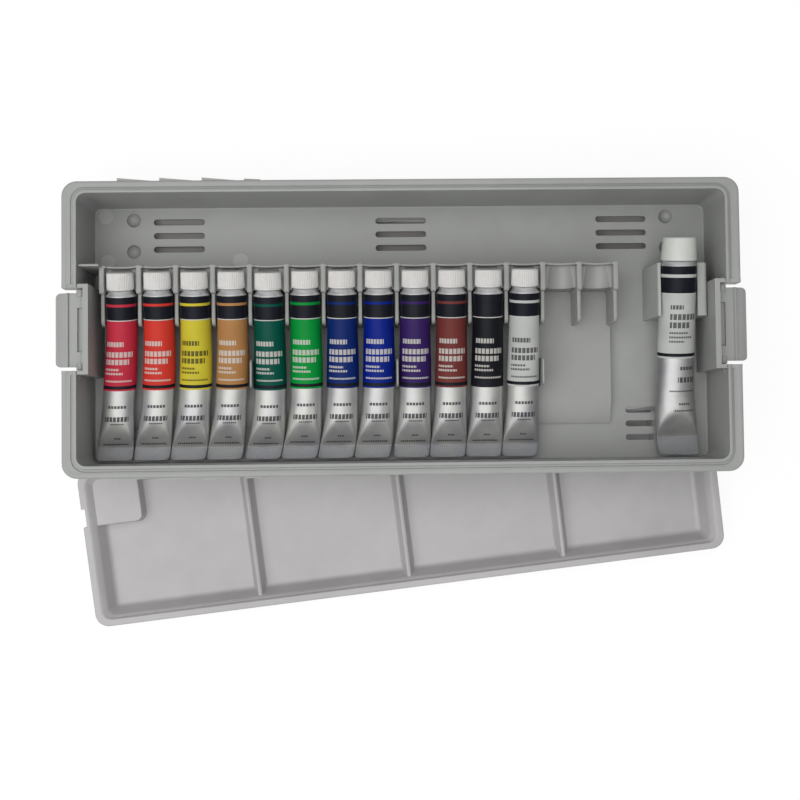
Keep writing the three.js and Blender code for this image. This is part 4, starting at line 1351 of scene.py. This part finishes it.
class PAINTBOX_OT_palette(bpy.types.Operator):
    """Adds the palette: a flanged tray with four wells, ribs between them and corner blocks."""

    bl_idname = "paintbox.palette"
    bl_label = "Add Palette"

    def shell(self, size):
        """The palette with a bare floor, whose two sides follow a profile all round."""
        end, side = PALETTE_END_FLANGE, PALETTE_SIDE_FLANGE
        mouth_length = size.length - 2 * end
        mouth_depth = size.depth - 2 * side
        top = size.height
        outer_corner, inner_corner = 7.0, 4.2
        skirt_low = top - 4.0
        rim_round = 0.8
        draft = 4.7

        # The flange: its skirt, its rounded edge and its flat top
        outside = [
            (end - 0.3, side - 0.3, outer_corner - 0.3, skirt_low),
            (end, side, outer_corner, skirt_low + 0.3),
            (end, side, outer_corner, top - rim_round),
        ]
        for inward, short in quarter_round(4):
            drawn_in = rim_round * inward
            height = top - rim_round * short
            outside.append((end - drawn_in, side - drawn_in, outer_corner - drawn_in, height))
        outside += [
            (2.4, 0.9, inner_corner + 1.2, top),
            (1.7, 0.5, inner_corner + 0.8, top - 0.25),
            (0.8, 0.2, inner_corner + 0.4, top - 0.8),
            (0.0, 0.0, inner_corner, top - 1.6),
        ]

        # The wells' sloping wall, in many steps so that ribs and blocks can rise along it
        for z in (9.6, 8.6, 7.6, 6.6, 5.6, 4.6, 3.6, 3.0):
            lean = -draft * (top - z) / (top - PALETTE_FLOOR)
            outside.append((lean, lean, inner_corner + lean * 0.4, z))
        for lean, z in ((-4.6, 2.4), (-5.2, 1.95), (-6.0, 1.7), (-7.0, PALETTE_FLOOR)):
            outside.append((lean, lean, 2.2, z))

        # The flange's underside, the outer wall and the underside
        inside = [
            (end - 0.3, side - 0.3, outer_corner - 0.3, skirt_low),
            (end - 1.2, side - 1.2, outer_corner - 1.2, skirt_low),
            (end - 1.4, side - 1.4, outer_corner - 1.4, skirt_low + 0.2),
            (end - 1.4, side - 1.4, outer_corner - 1.4, top - 1.8),
            (end - 1.6, side - 1.6, outer_corner - 1.6, top - 1.6),
            (1.5, 1.4, inner_corner + 1.4, top - 1.6),
            (1.0, 1.0, inner_corner + 1.0, top - 2.0),
            (-2.6, -2.6, inner_corner - 0.8, 1.4),
            (-3.2, -3.2, inner_corner - 1.2, 0.4),
            (-4.2, -4.2, inner_corner - 1.6, 0.0),
        ]
        bm = bmesh.new()
        for rings in (outside, inside):
            wall_all_round(bm, mouth_length, mouth_depth, rings)
        bmesh.ops.remove_doubles(bm, verts=bm.verts, dist=0.001)
        bmesh.ops.recalc_face_normals(bm, faces=bm.faces)
        return bm

    def basin(self, bm, size):
        """The faces of the upper side inside the flange."""
        half_length = size.length / 2 - PALETTE_END_FLANGE + 0.05
        half_depth = size.depth / 2 - PALETTE_SIDE_FLANGE + 0.05
        return [
            face
            for face in bm.faces
            if face.normal.z > 0.05
            and face.calc_center_median().z > 1.5
            and all(abs(v.co.x) < half_length and abs(v.co.y) < half_depth for v in face.verts)
        ]

    def slice(self, bm, size, place, across):
        """Cuts the faces inside the flange along a plane, without parting them."""
        faces = self.basin(bm, size)
        geometry = faces + each_once(edge for face in faces for edge in face.edges)
        geometry += each_once(vert for face in faces for vert in face.verts)
        bmesh.ops.bisect_plane(bm, geom=geometry, dist=0.0001, plane_co=place, plane_no=across)

    def raise_ribs_and_blocks(self, bm, size):
        """Lifts the sliced floor and wall to the ribs between the wells and the corner blocks."""
        ribs = list(size.rib_places)
        block_x = size.length / 2 - PALETTE_END_FLANGE - BLOCK_LENGTH
        block_y = size.depth / 2 - PALETTE_SIDE_FLANGE - BLOCK_DEPTH
        block_top = size.height - 3.0
        for x in ribs:
            for offset in RIB_SLICES:
                self.slice(bm, size, (x + offset, 0, 0), (1, 0, 0))
        for i in range(BLOCK_SLICES):
            slice_x = block_x + BLOCK_SLICE_START + BLOCK_SLICE_STEP * i
            slice_y = block_y + BLOCK_SLICE_START + BLOCK_SLICE_STEP * i
            for sign in (-1, 1):
                self.slice(bm, size, (sign * slice_x, 0, 0), (1, 0, 0))
            self.slice(bm, size, (0, slice_y, 0), (0, 1, 0))
        for vert in each_once(vert for face in self.basin(bm, size) for vert in face.verts):
            near = min(abs(vert.co.x - x) for x in ribs)
            rib_rise = (size.rib_height - PALETTE_FLOOR) * (1 - smooth(near, *RIB_SLOPE))
            corner_x = block_x + BLOCK_CORNER - abs(vert.co.x)
            corner_y = block_y + BLOCK_CORNER - vert.co.y
            away = math.hypot(max(corner_x, 0), max(corner_y, 0)) - BLOCK_CORNER
            block_rise = (block_top - PALETTE_FLOOR) * (1 - smooth(away, *BLOCK_SLOPE))
            for rise in (rib_rise, block_rise):
                vert.co.z = max(vert.co.z, min(PALETTE_FLOOR + rise, size.height))

    def execute(self, context):
        size = context.scene.paintbox_palette
        bm = self.shell(size)
        self.raise_ribs_and_blocks(bm, size)

        # A notch in the left flange, whose edges alone are softened
        notch_end = -size.length / 2 + 2.0
        notch_rear = size.depth / 2 - 20.0
        notch_front = notch_rear - 9.6
        margin = 0.2

        def near_notch(edge):
            """Whether an edge lies at the notch."""
            return all(
                v.co.x < notch_end + margin and notch_front - margin < v.co.y < notch_rear + margin
                for v in edge.verts
            )

        notch = bmesh.new()
        cube(notch, (-size.length / 2 - 3, notch_front, 6), (notch_end, notch_rear, 15))
        bm = carve(bm, notch, "DIFFERENCE")
        soften(bm, 0.3, 2, 50.0, near_notch)
        place = palette_matrix()
        material = moulded_plastic("palette_plastic", srgb(*size.colour), 0.34, (), place)
        put_in_place(bm, "mixing_palette", place, material, "palette", ["palette"])
        return {"FINISHED"}


class PAINTBOX_OT_stage(bpy.types.Operator):
    """Adds the pale floor, the soft light and the camera."""

    bl_idname = "paintbox.stage"
    bl_label = "Add Stage"

    def floor(self):
        """White paper to the camera, which keeps the object's shadow and has a painted shadow under the
        tray.
        """
        half_size = 3.0
        drop = 0.0004
        paper = (0.82, 0.82, 0.82, 1.0)
        # The colour of the painted shadow under the tray
        shade = (0.30, 0.29, 0.28, 1.0)
        glow_strength = 1.04
        glow_share = 0.86
        # How far the painted shadow under the tray reaches along and across it, and where it fades out
        shade_length = (0.134, 0.170)
        shade_depth = (0.062, 0.080)

        bm = bmesh.new()
        bmesh.ops.create_grid(bm, x_segments=1, y_segments=1, size=half_size)
        piece = as_object(bm, "floor")
        piece.location.z = -drop
        finish = Finish("floor_paper")
        path = finish.nodes.new("ShaderNodeLightPath")
        camera = Signal(finish, path.outputs["Is Camera Ray"])
        glossy = Signal(finish, path.outputs["Is Glossy Ray"])
        through = Signal(finish, path.outputs["Is Transmission Ray"])
        glow = finish.nodes.new("ShaderNodeEmission")
        finish.set(Roughness=0.9)
        glow.inputs["Strength"].default_value = glow_strength
        tray = finish.place(tray_matrix())
        along = finish.add("ShaderNodeSeparateXYZ", None, {0: tray})
        across = finish.add("ShaderNodeSeparateXYZ", None, {0: tray}, 1)
        # Painted shadow: the paper is darker under the tray and does not glow there, so that the vents
        # look dark
        under = finish.fade(abs(along), *shade_length) * finish.fade(abs(across), *shade_depth)
        finish.set(Base_Color=finish.mix(under, paper, shade))
        share = camera.larger(glossy).larger(through) * glow_share * (1.0 - under)
        mix = finish.nodes.new("ShaderNodeMixShader")
        finish.put(mix.inputs[0], share)
        links = finish.material.node_tree.links
        links.new(finish.shader.outputs[0], mix.inputs[1])
        links.new(glow.outputs[0], mix.inputs[2])
        links.new(mix.outputs[0], finish.nodes["Material Output"].inputs["Surface"])
        piece.data.materials.append(finish.material)

    def world(self, ambient):
        """White to the camera, even light for the object, and a darker horizon for its gloss."""
        world = bpy.data.worlds.new("studio")
        bpy.context.scene.world = world
        world.use_nodes = True
        nodes = world.node_tree.nodes
        links = world.node_tree.links

        def calculate(operation, left, right):
            """A Math node on two sockets or numbers."""
            node = nodes.new("ShaderNodeMath")
            node.operation = operation
            for index, value in enumerate((left, right)):
                if isinstance(value, bpy.types.NodeSocket):
                    links.new(value, node.inputs[index])
                else:
                    node.inputs[index].default_value = value
            return node.outputs[0]

        path = nodes.new("ShaderNodeLightPath")
        seen = calculate("MAXIMUM", path.outputs["Is Camera Ray"], path.outputs["Is Transmission Ray"])
        glossy = path.outputs["Is Glossy Ray"]
        split = nodes.new("ShaderNodeSeparateXYZ")
        links.new(nodes.new("ShaderNodeTexCoord").outputs["Generated"], split.inputs[0])
        height = nodes.new("ShaderNodeMapRange")
        links.new(split.outputs["Z"], height.inputs["Value"])
        horizon = {"From Min": 0.15, "From Max": 0.85, "To Min": 0.24, "To Max": 0.62}
        for name, value in horizon.items():
            height.inputs[name].default_value = value
        rest = calculate("SUBTRACT", 1.0, calculate("MAXIMUM", seen, glossy))
        strength = calculate("ADD", calculate("MULTIPLY", rest, ambient), seen)
        mirrored = calculate("MULTIPLY", glossy, height.outputs[0])
        background = nodes["Background"]
        background.inputs["Color"].default_value = (1.0, 1.0, 1.0, 1.0)
        links.new(calculate("ADD", strength, mirrored), background.inputs["Strength"])

    def lamp(self, power):
        """A large square window of light above the tray's left."""
        light = bpy.data.lights.new("window", "AREA")
        light.energy = power
        light.shape = "RECTANGLE"
        light.size = LAMP_SIZE
        light.size_y = LAMP_SIZE
        light.color = LAMP_COLOUR
        made = bpy.data.objects.new("window", light)
        made.location = LAMP_PLACE
        way = Vector(LAMP_TARGET) - Vector(LAMP_PLACE)
        made.rotation_euler = way.to_track_quat("-Z", "Y").to_euler()
        bpy.context.collection.objects.link(made)

    def camera(self):
        """The camera looks down from above, fitted to the photograph's view."""
        data = bpy.data.cameras.new("camera")
        data.sensor_fit = "HORIZONTAL"
        data.sensor_width = SENSOR_WIDTH
        data.lens = FOCAL_SHARE * data.sensor_width
        made = bpy.data.objects.new("camera", data)
        made.location = CAMERA_PLACE
        made.rotation_euler = CAMERA_TURN
        bpy.context.collection.objects.link(made)
        bpy.context.scene.camera = made

    def execute(self, context):
        settings = context.scene.paintbox_stage
        self.floor()
        self.world(settings.ambient)
        self.lamp(settings.key_power)
        self.camera()
        context.scene.view_settings.view_transform = "Standard"
        return {"FINISHED"}


class PAINTBOX_PT_panel(bpy.types.Panel):
    """Lists the pieces of the paint box in the sidebar."""

    bl_label = "Paint Box"
    bl_space_type = "VIEW_3D"
    bl_region_type = "UI"
    bl_category = "Paint Box"

    def draw(self, context):
        for operator in OPERATORS:
            self.layout.operator(operator.bl_idname)
        for group in GROUPS.values():
            settings = getattr(context.scene, group)
            for key in settings.bl_rna.properties.keys():
                if key not in ("rna_type", "name"):
                    self.layout.prop(settings, key)


OPERATORS = (
    PAINTBOX_OT_stage,
    PAINTBOX_OT_palette,
    PAINTBOX_OT_tray,
    PAINTBOX_OT_rack,
    PAINTBOX_OT_cradle,
    PAINTBOX_OT_latches,
    PAINTBOX_OT_small_tubes,
    PAINTBOX_OT_large_tube,
)
GROUPS = {
    TraySizes: "paintbox_tray",
    RackSizes: "paintbox_rack",
    TubeSizes: "paintbox_tubes",
    PaletteSizes: "paintbox_palette",
    StageSettings: "paintbox_stage",
}
CLASSES = (*GROUPS, *OPERATORS, PAINTBOX_PT_panel)


def register():
    for item in CLASSES:
        bpy.utils.register_class(item)
    for group, name in GROUPS.items():
        setattr(bpy.types.Scene, name, PointerProperty(type=group))


def unregister():
    for name in GROUPS.values():
        delattr(bpy.types.Scene, name)
    for item in reversed(CLASSES):
        bpy.utils.unregister_class(item)


def main():
    register()
    bpy.ops.paintbox.stage()
    bpy.ops.paintbox.palette()
    bpy.ops.paintbox.tray()
    bpy.ops.paintbox.rack()
    bpy.ops.paintbox.cradle()
    bpy.ops.paintbox.latches()
    bpy.ops.paintbox.small_tubes()
    bpy.ops.paintbox.large_tube()


if __name__ == "__main__":
    main()
